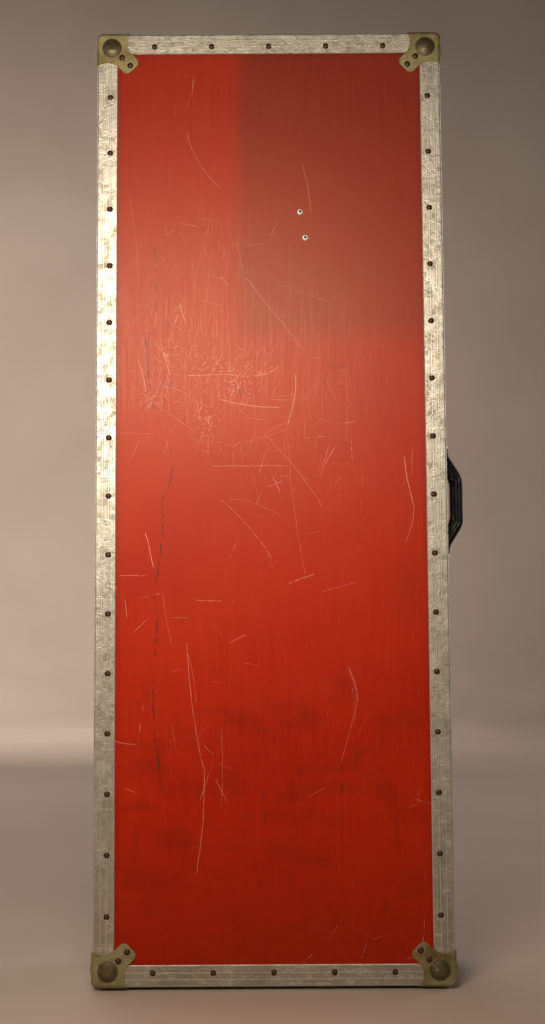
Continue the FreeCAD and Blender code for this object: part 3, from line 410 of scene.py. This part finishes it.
def aluminium():
    """Ribbed edge extrusion: bright on its outer corner, with painted highlights on its ribs and inner edge,
    painted shade beside the ribs that is grimy in patches, darker towards the bottom, dented and scratched.
    """
    g = Graph("worn_edge_aluminium")
    inside, parts = g.margins()
    m_x, m_y, m_z = parts
    low = g.math("MINIMUM", m_x, m_y)
    high = g.math("MAXIMUM", m_x, m_y)
    edge = g.math("MAXIMUM", low, g.math("MINIMUM", high, m_z))

    cloud = g.noise(26.0, 4.0)
    fine = g.noise(240.0, 3.0)
    blotch = g.noise(75.0, 4.0, roughness=0.65)
    along_z = g.noise(1.0, 2.0, g.stretched((900.0, 900.0, 14.0)))
    along_x = g.noise(1.0, 2.0, g.stretched((14.0, 900.0, 900.0)))
    upright = g.math("GREATER_THAN", m_z, 30 * MM)
    drawn = g.add("Mix", {0: upright, 2: along_x, 3: along_z}, 0, data_type="FLOAT")

    off_ribs = [g.math("ABSOLUTE", g.math("SUBTRACT", edge, place)) for place in RIB_PLACES]
    # Painted shade beside the ribs, and a painted highlight on their tops.
    beside_ribs = g.most(*[g.fade(off, 1.9 * MM, 0.6 * MM) for off in off_ribs])
    on_ribs = g.most(*[g.fade(off, 0.75 * MM, 0.45 * MM) for off in off_ribs])
    grooves = g.times(beside_ribs, g.math("SUBTRACT", 1.0, on_ribs))
    # The inner edge gets a painted highlight.
    inner = g.fade(edge, ANGLE_LEG - 1.6 * MM, ANGLE_LEG - 0.6 * MM)
    outer = g.fade(edge, 3.0 * MM, 1.2 * MM)

    ring = rivet_distance(g, parts, edge)
    clean_ring = g.times(g.fade(ring, 3.9 * MM, 4.1 * MM), g.fade(ring, 5.0 * MM, 4.3 * MM))
    stain_ring = g.times(g.fade(ring, 9.5 * MM, 5.0 * MM), g.fade(blotch, 0.45, 0.6))
    dark_ring = g.fade(ring, 4.15 * MM, 3.75 * MM)

    cross = g.times(
        g.most(
            g.hairlines(g.stretched((26.0, 26.0, 130.0), (0.3, 0.35, 0.3)), 1.0, 0.03),
            g.hairlines(g.stretched((60.0, 60.0, 90.0), (0.5, -0.6, 0.1), (3.0, 1.0, 8.0)), 1.0, 0.03),
        ),
        g.fade(g.noise(70.0, 2.0), 0.4, 0.58),
    )
    dents = g.fade(g.noise(120.0, 3.0, roughness=0.6), 0.5, 0.64)
    pits = g.fade(g.noise(330.0, 2.0), 0.66, 0.73)

    metal = g.mix(g.fade(cloud, 0.3, 0.7), rgb(0.66, 0.62, 0.52), rgb(0.82, 0.78, 0.68))
    metal = g.mix(g.fade(drawn, 0.4, 0.7, 0.0, 0.45), metal, rgb(0.42, 0.37, 0.28))
    dirt_and_shade = g.most(
        # Painted shade beside the ribs, made patchy by the blotches.
        g.times(grooves, g.fade(blotch, 0.3, 0.62, 0.25, 0.8)),
        g.times(g.fade(blotch, 0.54, 0.72), 0.5),
        g.times(stain_ring, 0.5),
        g.times(pits, 0.8),
        g.times(dark_ring, 0.95),
        g.times(dents, 0.45),
        # Darker towards the bottom.
        g.fade(g.apart(g.place)[2], 0.5, 0.05, 0.0, 0.38),
    )
    colour = g.mix(dirt_and_shade, metal, rgb(0.16, 0.12, 0.07))
    # Painted highlights on the ribs and inner edge, with the bright outer corner, rivet rims and scratches.
    bright = g.most(g.times(outer, 0.6), g.times(inner, 0.9), g.times(on_ribs, 0.7), g.times(clean_ring, 0.4),
                    g.times(cross, 0.7))
    colour = g.mix(g.times(bright, 0.8), colour, rgb(0.95, 0.92, 0.85))
    rough = g.math("ADD", g.fade(blotch, 0.3, 0.7, 0.4, 0.58), g.times(dirt_and_shade, 0.15))
    rough = g.math("SUBTRACT", rough, g.times(bright, 0.12))
    height = g.math("ADD", g.times(drawn, 0.3), g.times(cloud, 0.9))
    height = g.math("SUBTRACT", height, g.most(g.times(cross, 0.6), g.times(pits, 0.7), g.times(dents, 0.9)))
    height = g.math("ADD", height, g.times(fine, 0.15))
    return g.finish(colour, rough, height, 0.12 * MM, metallic=0.78)


def corner_brass():
    """Passivated steel ball corners: olive and brown, dark round the ball, gold where its top is rubbed."""
    g = Graph("olive_corner_steel")
    inside, (m_x, m_y, m_z) = g.margins()
    ball = g.vector("SUBTRACT", inside, (BALL_INSET, BALL_INSET, BALL_INSET))
    reach = g.vector("LENGTH", ball, output="Value")
    plane = g.math("MINIMUM", m_x, g.math("MINIMUM", m_y, m_z))
    on_ball = g.fade(plane, -1.9 * MM, -2.3 * MM)
    rubbed = g.fade(plane, -3.1 * MM, -4.4 * MM)
    groove = g.times(
        g.fade(reach, BALL_RADIUS - 0.5 * MM, BALL_RADIUS + 0.05 * MM),
        g.fade(reach, BALL_RADIUS + 0.9 * MM, BALL_RADIUS + 0.2 * MM),
    )
    cloud = g.noise(55.0, 4.0, roughness=0.6)
    speck = g.noise(260.0, 3.0, roughness=0.7)
    brown = g.fade(g.noise(16.0, 2.0), 0.48, 0.64)
    olive = g.mix(g.fade(cloud, 0.3, 0.7), rgb(0.32, 0.275, 0.12), rgb(0.43, 0.375, 0.185))
    tarnish = g.mix(g.fade(cloud, 0.35, 0.65), rgb(0.2, 0.125, 0.04), rgb(0.3, 0.2, 0.075))
    colour = g.mix(brown, olive, tarnish)
    colour = g.mix(g.times(g.fade(speck, 0.56, 0.7), 0.55), colour, rgb(0.1, 0.07, 0.035))
    colour = g.mix(g.times(on_ball, g.fade(cloud, 0.35, 0.6, 0.25, 0.75)), colour, rgb(0.3, 0.23, 0.12))
    colour = g.mix(g.times(rubbed, 0.7), colour, rgb(0.62, 0.48, 0.26))
    colour = g.mix(g.times(groove, 0.8), colour, rgb(0.055, 0.04, 0.02))
    scratch = g.times(
        g.hairlines(g.stretched((60.0, 60.0, 90.0), (0.4, 0.2, 0.9)), 1.0, 0.02),
        g.fade(g.noise(90.0, 2.0), 0.5, 0.6),
    )
    colour = g.mix(g.times(scratch, 0.5), colour, rgb(0.55, 0.47, 0.3))
    rough = g.math("SUBTRACT", g.fade(cloud, 0.3, 0.7, 0.48, 0.6), g.times(rubbed, 0.22))
    height = g.math("ADD", cloud, g.times(speck, 0.4))
    height = g.math("SUBTRACT", height, g.times(scratch, 0.4))
    return g.finish(colour, rough, height, 0.12 * MM, metallic=0.5)


def rivet_copper():
    """Rivet heads: dark oxidised rim, lighter worn middle."""
    g = Graph("oxidised_rivet_steel")
    _, (m_x, m_y, m_z) = g.margins()
    plane = g.math("MINIMUM", m_x, g.math("MINIMUM", m_y, m_z))
    top = g.fade(plane, -1.15 * MM, -1.5 * MM)
    cap_top = g.fade(plane, -2.7 * MM, -3.15 * MM)
    worn = g.math("MAXIMUM", g.times(top, g.fade(plane, -1.75 * MM, -1.55 * MM)), cap_top)
    speck = g.noise(700.0, 3.0)
    colour = g.mix(g.fade(speck, 0.35, 0.65), rgb(0.04, 0.011, 0.008), rgb(0.085, 0.028, 0.018))
    colour = g.mix(g.times(worn, g.fade(speck, 0.3, 0.6, 0.2, 0.6)), colour, rgb(0.2, 0.1, 0.065))
    return g.finish(colour, g.fade(speck, 0.3, 0.7, 0.42, 0.6), speck, 0.05 * MM, metallic=0.4)


def blind_rivet():
    """The two bright aluminium pop rivets in the lid's face, with painted shade making the hollow in the
    middle near black.
    """
    g = Graph("bright_blind_rivet")
    low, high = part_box("neck_block_rivets")
    head, hollow_edge, hollow_floor = 3.5 * MM, 1.6 * MM, 1.35 * MM
    reach = []
    for centre in ((high.x - head, 0.0, low.z + head), (low.x + head, 0.0, high.z - head)):
        off = g.vector("MULTIPLY", g.vector("SUBTRACT", g.place, centre), (1.0, 0.0, 1.0))
        reach.append(g.vector("LENGTH", off, output="Value"))
    hollow = g.fade(g.math("MINIMUM", *reach), hollow_edge, hollow_floor)
    speck = g.noise(900.0, 2.0)
    turned = g.noise(1.0, 2.0, g.stretched((2500.0, 300.0, 2500.0)))
    colour = g.mix(g.fade(speck, 0.55, 0.75, 0.0, 0.6), rgb(0.95, 0.93, 0.86), rgb(0.5, 0.42, 0.32))
    # Painted shade: the hollow is coloured near black.
    colour = g.mix(hollow, colour, rgb(0.012, 0.008, 0.006))
    return g.finish(colour, g.fade(turned, 0.3, 0.7, 0.35, 0.5), turned, 0.03 * MM, metallic=0.3)


def plated_steel():
    """Nickel-plated fittings, brushed and lightly scratched."""
    g = Graph("plated_fitting_steel")
    cloud = g.noise(38.0, 4.0)
    brushed = g.noise(1.0, 3.0, g.stretched((260.0, 1400.0, 1400.0)))
    scratch = g.times(
        g.most(
            g.hairlines(g.stretched((45.0, 45.0, 60.0), (0.7, 0.3, 0.2)), 1.0, 0.016),
            g.hairlines(g.stretched((70.0, 70.0, 40.0), (0.1, 0.9, 0.6), (2.0, 5.0, 1.0)), 1.0, 0.016),
        ),
        g.fade(g.noise(60.0, 2.0), 0.48, 0.58),
    )
    spots = g.fade(g.noise(150.0, 4.0, roughness=0.7), 0.6, 0.7)
    colour = g.mix(g.fade(cloud, 0.3, 0.7), rgb(0.46, 0.44, 0.39), rgb(0.62, 0.6, 0.55))
    colour = g.mix(g.times(spots, 0.55), colour, rgb(0.2, 0.14, 0.08))
    colour = g.mix(g.times(scratch, 0.5), colour, rgb(0.78, 0.76, 0.72))
    rough = g.math("ADD", g.fade(brushed, 0.3, 0.7, 0.24, 0.36), g.times(spots, 0.2))
    height = g.math("ADD", g.times(brushed, 0.3), g.times(cloud, 0.5))
    height = g.math("SUBTRACT", height, g.times(scratch, 0.4))
    return g.finish(colour, rough, height, 0.06 * MM, metallic=0.95)


# ---------------------------------------------------------------- wood, plastic and lining


def plywood():
    """Birch plywood: long grain, small knots and pores."""
    g = Graph("birch_plywood")
    swing = g.vector("SUBTRACT", g.noise(4.0, 2.0, output=1), (0.5, 0.5, 0.5))
    bend = g.vector("MULTIPLY", swing, (0.04, 0.04, 0.04))
    where = g.vector("MULTIPLY", g.vector("ADD", g.place, bend), (55.0, 55.0, 5.0))
    grain = g.noise(1.0, 4.0, where)
    pores = g.noise(1.0, 2.0, g.stretched((900.0, 900.0, 60.0)))
    tone = g.noise(6.0, 3.0)
    colour = g.mix(g.fade(grain, 0.35, 0.65), rgb(0.50, 0.33, 0.17), rgb(0.66, 0.48, 0.28))
    colour = g.mix(g.fade(pores, 0.58, 0.75, 0.0, 0.5), colour, rgb(0.28, 0.17, 0.08))
    colour = g.mix(g.fade(tone, 0.45, 0.7, 0.0, 0.35), colour, rgb(0.42, 0.27, 0.14))
    height = g.math("ADD", g.times(grain, 0.5), g.times(pores, 0.6))
    return g.finish(colour, g.fade(grain, 0.3, 0.7, 0.5, 0.68), height, 0.08 * MM)


def handle_plastic():
    """Black moulded plastic: satin, finely pebbled and rubbed along its edges."""
    g = Graph("black_handle_plastic")
    pebble = g.noise(1300.0, 2.0)
    rub = g.noise(55.0, 4.0)
    scratch = g.times(
        g.hairlines(g.stretched((90.0, 90.0, 30.0), (0.2, 0.4, 0.1)), 1.0, 0.02), g.fade(rub, 0.5, 0.62)
    )
    colour = g.mix(g.fade(rub, 0.4, 0.7), rgb(0.006, 0.006, 0.006), rgb(0.016, 0.015, 0.014))
    colour = g.mix(g.times(scratch, 0.6), colour, rgb(0.07, 0.065, 0.06))
    height = g.math("SUBTRACT", g.times(pebble, 0.5), g.times(scratch, 0.5))
    return g.finish(colour, g.fade(rub, 0.3, 0.7, 0.26, 0.42), height, 0.05 * MM, specular_ior_level=0.5)


def plush():
    """Short-pile charcoal plush: crushed patches catch the light, and the pile shows as a fine fuzz."""
    g = Graph("charcoal_plush_lining")
    pile = g.noise(1500.0, 3.0, roughness=0.7)
    nap = g.noise(240.0, 3.0)
    crushed = g.noise(22.0, 4.0, roughness=0.6)
    colour = g.mix(g.fade(crushed, 0.38, 0.64), rgb(0.018, 0.018, 0.021), rgb(0.06, 0.058, 0.062))
    colour = g.mix(g.fade(pile, 0.45, 0.7, 0.0, 0.6), colour, rgb(0.1, 0.098, 0.1))
    height = g.math("ADD", g.times(pile, 0.6), g.math("ADD", g.times(nap, 0.5), g.times(crushed, 0.8)))
    rough = g.fade(nap, 0.3, 0.7, 0.82, 0.98)
    return g.finish(
        colour, rough, height, 0.5 * MM, sheen_weight=0.55, sheen_roughness=0.45, specular_ior_level=0.2
    )


MATERIALS = {
    "plywood": plywood(),
    "red_laminate": laminate("red_laminate_worn", False),
    "edge_aluminium": aluminium(),
    "corner_steel": corner_brass(),
    "rivet_steel": rivet_copper(),
    "fitting_steel": plated_steel(),
    "handle_plastic": handle_plastic(),
    "foam_lining": plush(),
}
SPECIAL = {
    "lid_panel_skin": laminate("red_laminate_lid_face", True),
    "neck_block_rivets": blind_rivet(),
}


def dress(piece, material):
    """Puts one material in every slot of a piece."""
    if not piece.material_slots:
        piece.data.materials.append(material)
    for slot in piece.material_slots:
        slot.material = material


for row in frame["record"]["subparts"]:
    node = row["node"]
    dress(frame["nodes"][node], SPECIAL.get(node, MATERIALS[row["material_slot"]]))


# ---------------------------------------------------------------- lining pads


def solid_parts(node):
    """The separate solids of a CAD node, as one bmesh each."""
    whole = bmesh.new()
    whole.from_mesh(frame["nodes"][node].data)
    bmesh.ops.remove_doubles(whole, verts=whole.verts, dist=0.01 * MM)
    left = set(whole.verts)
    groups = []
    while left:
        seed = left.pop()
        group, edge_of_group = {seed}, [seed]
        while edge_of_group:
            vert = edge_of_group.pop()
            for edge in vert.link_edges:
                other = edge.other_vert(vert)
                if other not in group:
                    group.add(other)
                    edge_of_group.append(other)
        left -= group
        groups.append({vert.index for vert in group})
    whole.free()
    parts = []
    for group in sorted(groups, key=min):
        part = bmesh.new()
        part.from_mesh(frame["nodes"][node].data)
        bmesh.ops.remove_doubles(part, verts=part.verts, dist=0.01 * MM)
        part.verts.ensure_lookup_table()
        bmesh.ops.delete(part, geom=[v for v in part.verts if v.index not in group], context="VERTS")
        parts.append(part)
    return parts


def evaluated(piece):
    """A copy of a piece's mesh with its modifiers applied."""
    graph = bpy.context.evaluated_depsgraph_get()
    return bpy.data.meshes.new_from_object(piece.evaluated_get(graph))


def remeshed(part, voxel):
    """A closed shape built again from small even faces."""
    mesh = bpy.data.meshes.new("part")
    part.to_mesh(mesh)
    part.free()
    piece = bpy.data.objects.new("part", mesh)
    scene.collection.objects.link(piece)
    modifier = piece.modifiers.new("even", "REMESH")
    modifier.mode = "VOXEL"
    modifier.voxel_size = voxel
    result = evaluated(piece)
    bpy.data.objects.remove(piece)
    bpy.data.meshes.remove(mesh)
    return result


class Pad:
    """One soft CAD node, made again as foam under plush. Its solids lie against the shell or a board."""

    VOXEL = 6 * MM
    SHRINK = 0.7 * MM
    HELD_DEPTH = 3.5 * MM
    CROWN_REACH = 18 * MM
    EDGE_SINK = 0.6 * MM
    SIDE_REACH = 3 * MM
    SIDE_GAP = 0.1 * MM
    SEAM_INSET = 13 * MM
    SEAM_WIDTH = 5 * MM
    SEAM_DEPTH = 1.6 * MM
    NEAR = 4 * MM

    def __init__(self, node, body, faces, rise, channels=()):
        """faces holds, for each solid, the direction that its free face looks in."""
        self.node, self.body, self.rise, self.channels = node, body, rise, channels
        whole = bmesh.new()
        self.boxes = []
        held, start = [], 0
        for part, face in zip(solid_parts(node), faces):
            low = Vector([min(v.co[i] for v in part.verts) for i in range(3)])
            high = Vector([max(v.co[i] for v in part.verts) for i in range(3)])
            middle = (low + high) / 2
            for vert in part.verts:
                for i in range(3):
                    vert.co[i] -= math.copysign(self.SHRINK, vert.co[i] - middle[i])
            mesh = remeshed(part, self.VOXEL)
            whole.from_mesh(mesh)
            bpy.data.meshes.remove(mesh)
            whole.verts.ensure_lookup_table()
            axis = max(range(3), key=lambda i: abs(face[i]))
            sign = 1 if face[axis] > 0 else -1
            back = low[axis] if sign > 0 else high[axis]
            for vert in whole.verts[start:]:
                if abs(vert.co[axis] - back) < self.HELD_DEPTH:
                    held.append(vert.index)
            self.boxes.append((start, len(whole.verts), axis, sign, low, high))
            start = len(whole.verts)
        mesh = bpy.data.meshes.new(f"soft_{node}")
        whole.to_mesh(mesh)
        whole.free()
        self.piece = bpy.data.objects.new(f"soft_{node}", mesh)
        scene.collection.objects.link(self.piece)
        self.piece.vertex_groups.new(name="held").add(held, 1.0, "REPLACE")

    def fill(self):
        """Starts the cloth, which the caller then steps."""
        cloth = self.piece.modifiers.new("swell", "CLOTH")
        settings = cloth.settings
        settings.quality = 4
        settings.mass = 0.3
        settings.tension_stiffness = settings.compression_stiffness = 12
        settings.shear_stiffness = 6
        settings.bending_stiffness = 1.5
        settings.use_pressure = True
        settings.uniform_pressure_force = 4.0
        settings.effector_weights.gravity = 0.0
        settings.vertex_group_mass = "held"
        cloth.collision_settings.use_collision = False
        cloth.collision_settings.use_self_collision = False

    def settle(self):
        """Keeps the swollen shape within its space, and sews its channels."""
        swollen = evaluated(self.piece) if self.piece.modifiers else self.piece.data.copy()
        self.piece.modifiers.clear()
        mesh = self.piece.data
        for start, end, axis, sign, low, high in self.boxes:
            half = (high - low) / 2
            middle = (high + low) / 2
            front, back = (high[axis], low[axis]) if sign > 0 else (low[axis], high[axis])
            rest = back + sign * self.SHRINK
            for i in range(start, end):
                spot = swollen.vertices[i].co.copy()
                margin = min(half[k] - abs(spot[k] - middle[k]) for k in range(3) if k != axis)
                crown = math.sqrt(min(1.0, max(0.0, margin / self.CROWN_REACH)))
                limit = front + sign * (self.rise * crown - self.EDGE_SINK * (1 - crown))
                spot[axis] = sorted((rest, spot[axis], limit))[1]
                for k in range(3):
                    if k != axis and half[k] - abs(spot[k] - middle[k]) < self.SIDE_REACH:
                        spot[k] = middle[k] + math.copysign(half[k] - self.SIDE_GAP, spot[k] - middle[k])
                mesh.vertices[i].co = spot
        bpy.data.meshes.remove(swollen)
        once = self.piece.modifiers.new("finer", "SUBSURF")
        once.levels = once.render_levels = 1
        self.piece.data = evaluated(self.piece)
        self.piece.modifiers.clear()
        self.sew()
        self.piece.data.shade_smooth()
        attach(self.piece, self.body)
        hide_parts(self.node)
        dress(self.piece, MATERIALS["foam_lining"])

    def sew(self):
        """Pulls the free faces in along the seams."""
        for vert in self.piece.data.vertices:
            for _, _, axis, sign, low, high in self.boxes:
                spot = vert.co
                if not all(low[k] - self.NEAR < spot[k] < high[k] + self.NEAR for k in range(3)):
                    continue
                front = high[axis] if sign > 0 else low[axis]
                if abs(spot[axis] - front) > self.NEAR:
                    break
                across = [k for k in range(3) if k != axis]
                edge = min(min(spot[k] - low[k], high[k] - spot[k]) for k in across)
                pull = max(0.0, 1 - abs(edge - self.SEAM_INSET) / self.SEAM_WIDTH)
                for k, place in self.channels:
                    if k in across and edge > self.SEAM_INSET:
                        pull = max(pull, 1 - abs(spot[k] - place) / self.SEAM_WIDTH)
                spot[axis] -= sign * self.SEAM_DEPTH * pull * pull * (3 - 2 * pull)
                break


def facing(node, directions=None):
    """The way each solid of a node looks: as given, or across its thin side toward the case's middle."""
    result = []
    for part in solid_parts(node):
        low = Vector([min(v.co[i] for v in part.verts) for i in range(3)])
        high = Vector([max(v.co[i] for v in part.verts) for i in range(3)])
        part.free()
        direction = Vector(directions or (0.0, 0.0, 0.0))
        if directions is None:
            thin = min(range(3), key=lambda i: high[i] - low[i])
            centre = (0.0, 0.0, MIDDLE)
            direction[thin] = math.copysign(1.0, centre[thin] - (low[thin] + high[thin]) / 2)
        result.append(direction)
    return result


CLOTH_FRAMES = 20


def make_lining():
    """Swells the six soft nodes together and finishes each one."""
    columns = [(0, x * MM) for x in (-112, -37, 37, 112)]
    rows = [(2, MIDDLE + z * MM) for z in (-400, -200, 0, 200)]
    toward_base, toward_lid = (0.0, 1.0, 0.0), (0.0, -1.0, 0.0)
    pads = [
        Pad("base_floor_pad", "base", facing("base_floor_pad", toward_lid), 2.4 * MM, columns),
        Pad("lid_panel_pad", "lid", facing("lid_panel_pad", toward_base), 2.4 * MM, columns + rows),
        Pad("neck_rest", "base", facing("neck_rest", toward_lid), 2.0 * MM),
        Pad("neck_side_blocks", "base", facing("neck_side_blocks", toward_lid), 2.4 * MM),
        Pad("base_wall_pads", "base", facing("base_wall_pads"), 0.25 * MM),
        Pad("lid_wall_pads", "lid", facing("lid_wall_pads"), 0.25 * MM),
    ]
    for pad in pads:
        pad.fill()
    for step in range(1, CLOTH_FRAMES + 1):
        scene.frame_set(step)
    for pad in pads:
        pad.settle()
    scene.frame_set(1)


# ---------------------------------------------------------------- handle


def ramp(value, start, end):
    """Goes from 0 at start to 1 at end, and stays there."""
    return min(1.0, max(0.0, (value - start) / (end - start)))


def make_handle():
    """The moulded bow, with grooves that follow its outer outline along both flanks."""
    knee, slope = 29.4 * MM, math.radians(32)
    foot_depth = 17.6 * MM
    groove_places = (3.4 * MM, 6.2 * MM, 9.0 * MM, 11.6 * MM)
    groove_depth, groove_half = 0.7 * MM, 0.8 * MM
    grooved_half_length = 62 * MM
    grip_rise, grip_half_length = 1.8 * MM, 60 * MM
    low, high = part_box("carry_handle")
    side = (high.y - low.y) / 2
    mid_y = (high.y + low.y) / 2
    whole = bmesh.new()
    whole.from_mesh(frame["nodes"]["carry_handle"].data)
    mesh = remeshed(whole, 0.7 * MM)
    mesh.name = "ribbed_handle"
    normals = [v.normal.copy() for v in mesh.vertices]
    for vert, normal in zip(mesh.vertices, normals):
        up = abs(vert.co.z - MIDDLE)
        flat = high.x - vert.co.x
        sloped = flat * math.cos(slope) - (up - knee) * math.sin(slope)
        inside = min(flat, max(sloped, flat - foot_depth))
        on_flank = ramp(abs(vert.co.y - mid_y) - side, -2.5 * MM, -1.5 * MM)
        off = min(abs(inside - place) for place in groove_places)
        if up <= grooved_half_length:
            vert.co -= normal * groove_depth * max(0.0, 1 - off / groove_half) * on_flank
        inner = ramp(inside, 6 * MM, 12 * MM)
        vert.co.x -= grip_rise * inner * ramp(up, grip_half_length, grip_half_length - 20 * MM)
    piece = bpy.data.objects.new("ribbed_handle", mesh)
    scene.collection.objects.link(piece)
    finer = piece.modifiers.new("finer", "SUBSURF")
    finer.levels = finer.render_levels = 1
    mesh.shade_smooth()
    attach(piece, "handle")
    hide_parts("carry_handle")
    dress(piece, MATERIALS["handle_plastic"])


make_lining()
make_handle()


# ---------------------------------------------------------------- stage, light and camera


def make_stage():
    """A pale floor whose rim curves up into a round wall, far enough out for every view."""
    flat_radius, bend_radius, wall_top = 4.0, 2.0, 7.0
    around, bend_steps = 96, 12
    profile = [(flat_radius, 0.0)]
    for step in range(1, bend_steps + 1):
        angle = math.pi / 2 * step / bend_steps
        profile.append((flat_radius + bend_radius * math.sin(angle), bend_radius * (1 - math.cos(angle))))
    profile.append((flat_radius + bend_radius, wall_top))
    turns = [math.tau * i / around for i in range(around)]
    shell = bmesh.new()
    rings = [[shell.verts.new((r * math.cos(t), r * math.sin(t), h)) for t in turns] for r, h in profile]
    middle = shell.verts.new((0.0, 0.0, 0.0))
    for i in range(around):
        j = (i + 1) % around
        shell.faces.new((middle, rings[0][i], rings[0][j]))
        for inner, outer in zip(rings, rings[1:]):
            shell.faces.new((inner[i], outer[i], outer[j], inner[j]))
    mesh = bpy.data.meshes.new("stage_floor")
    shell.to_mesh(mesh)
    shell.free()
    mesh.shade_smooth()
    floor = bpy.data.objects.new("stage_floor", mesh)
    floor.visible_diffuse = False
    scene.collection.objects.link(floor)
    g = Graph("stage_paper")
    tone = g.fade(g.noise(1.5, 3.0), 0.3, 0.7)
    colour = g.mix(tone, rgb(0.48, 0.375, 0.31), rgb(0.52, 0.41, 0.34))
    dress(floor, g.finish(colour, 0.9, g.noise(400.0, 2.0), 0.1 * MM))


def soft_light(name, place, target, size, power, colour=(1.0, 0.93, 0.86)):
    """A rectangular lamp that faces its target and that the camera can't see."""
    data = bpy.data.lights.new(name, "AREA")
    data.shape = "RECTANGLE"
    data.size, data.size_y = size
    data.energy = power
    data.color = colour
    lamp = bpy.data.objects.new(name, data)
    lamp.location = place
    lamp.rotation_euler = (Vector(target) - Vector(place)).to_track_quat("-Z", "Y").to_euler()
    lamp.visible_camera = False
    scene.collection.objects.link(lamp)
    return lamp


def make_lights():
    """One warm light near the case, seen in its gloss from a little higher, and dim ones for the room."""
    warm = (1.0, 0.87, 0.7)
    key = soft_light("key_light", (-0.16, -0.84, 0.64), (-0.1, 0.0, 0.64), (0.4, 0.4), 7.0, warm)
    key.visible_glossy = False
    glare = soft_light("key_gloss", (-0.2, -0.97, 0.96), (-0.1, 0.0, 0.8), (0.75, 0.2), 8.8, warm)
    glare.visible_diffuse = False
    soft_light("top_fill", (-1.2, 3.0, 3.4), (-1.2, 3.0, 0.0), (4.0, 3.0), 12.0)
    soft_light("back_fill", (-0.9, 2.6, 2.4), (0.0, 0.0, 0.6), (2.0, 2.0), 28.0)
    soft_light("hinge_side_fill", (-2.6, 1.2, 1.3), (0.0, 0.0, 0.6), (1.6, 1.6), 16.0)
    soft_light("handle_side_fill", (2.6, 1.2, 1.3), (0.0, 0.0, 0.6), (1.6, 1.6), 16.0)
    soft_light("wall_glow", (-1.3, 2.8, 2.0), (-0.9, 6.0, 1.3), (1.0, 1.0), 84.0)
    world = bpy.data.worlds.new("studio_air")
    world.use_nodes = True
    background = world.node_tree.nodes["Background"]
    background.inputs["Color"].default_value = rgb(0.9, 0.8, 0.72)
    background.inputs["Strength"].default_value = 0.03
    scene.world = world


def make_camera():
    """The photographer's place: low, close, and looking up a little."""
    data = bpy.data.cameras.new("view_camera")
    data.sensor_width = 36.0
    data.lens = 45.7
    data.clip_start, data.clip_end = 0.05, 50.0
    camera = bpy.data.objects.new("view_camera", data)
    tilt_up, roll = math.radians(4.96), math.radians(-0.34)
    turn = Matrix.Rotation(math.pi / 2 + tilt_up, 4, "X") @ Matrix.Rotation(roll, 4, "Z")
    camera.matrix_world = Matrix.Translation((0.0014, -1.6107, 0.42065)) @ turn
    scene.collection.objects.link(camera)
    scene.camera = camera


make_stage()
make_lights()
make_camera()
scene.view_settings.view_transform = "Standard"
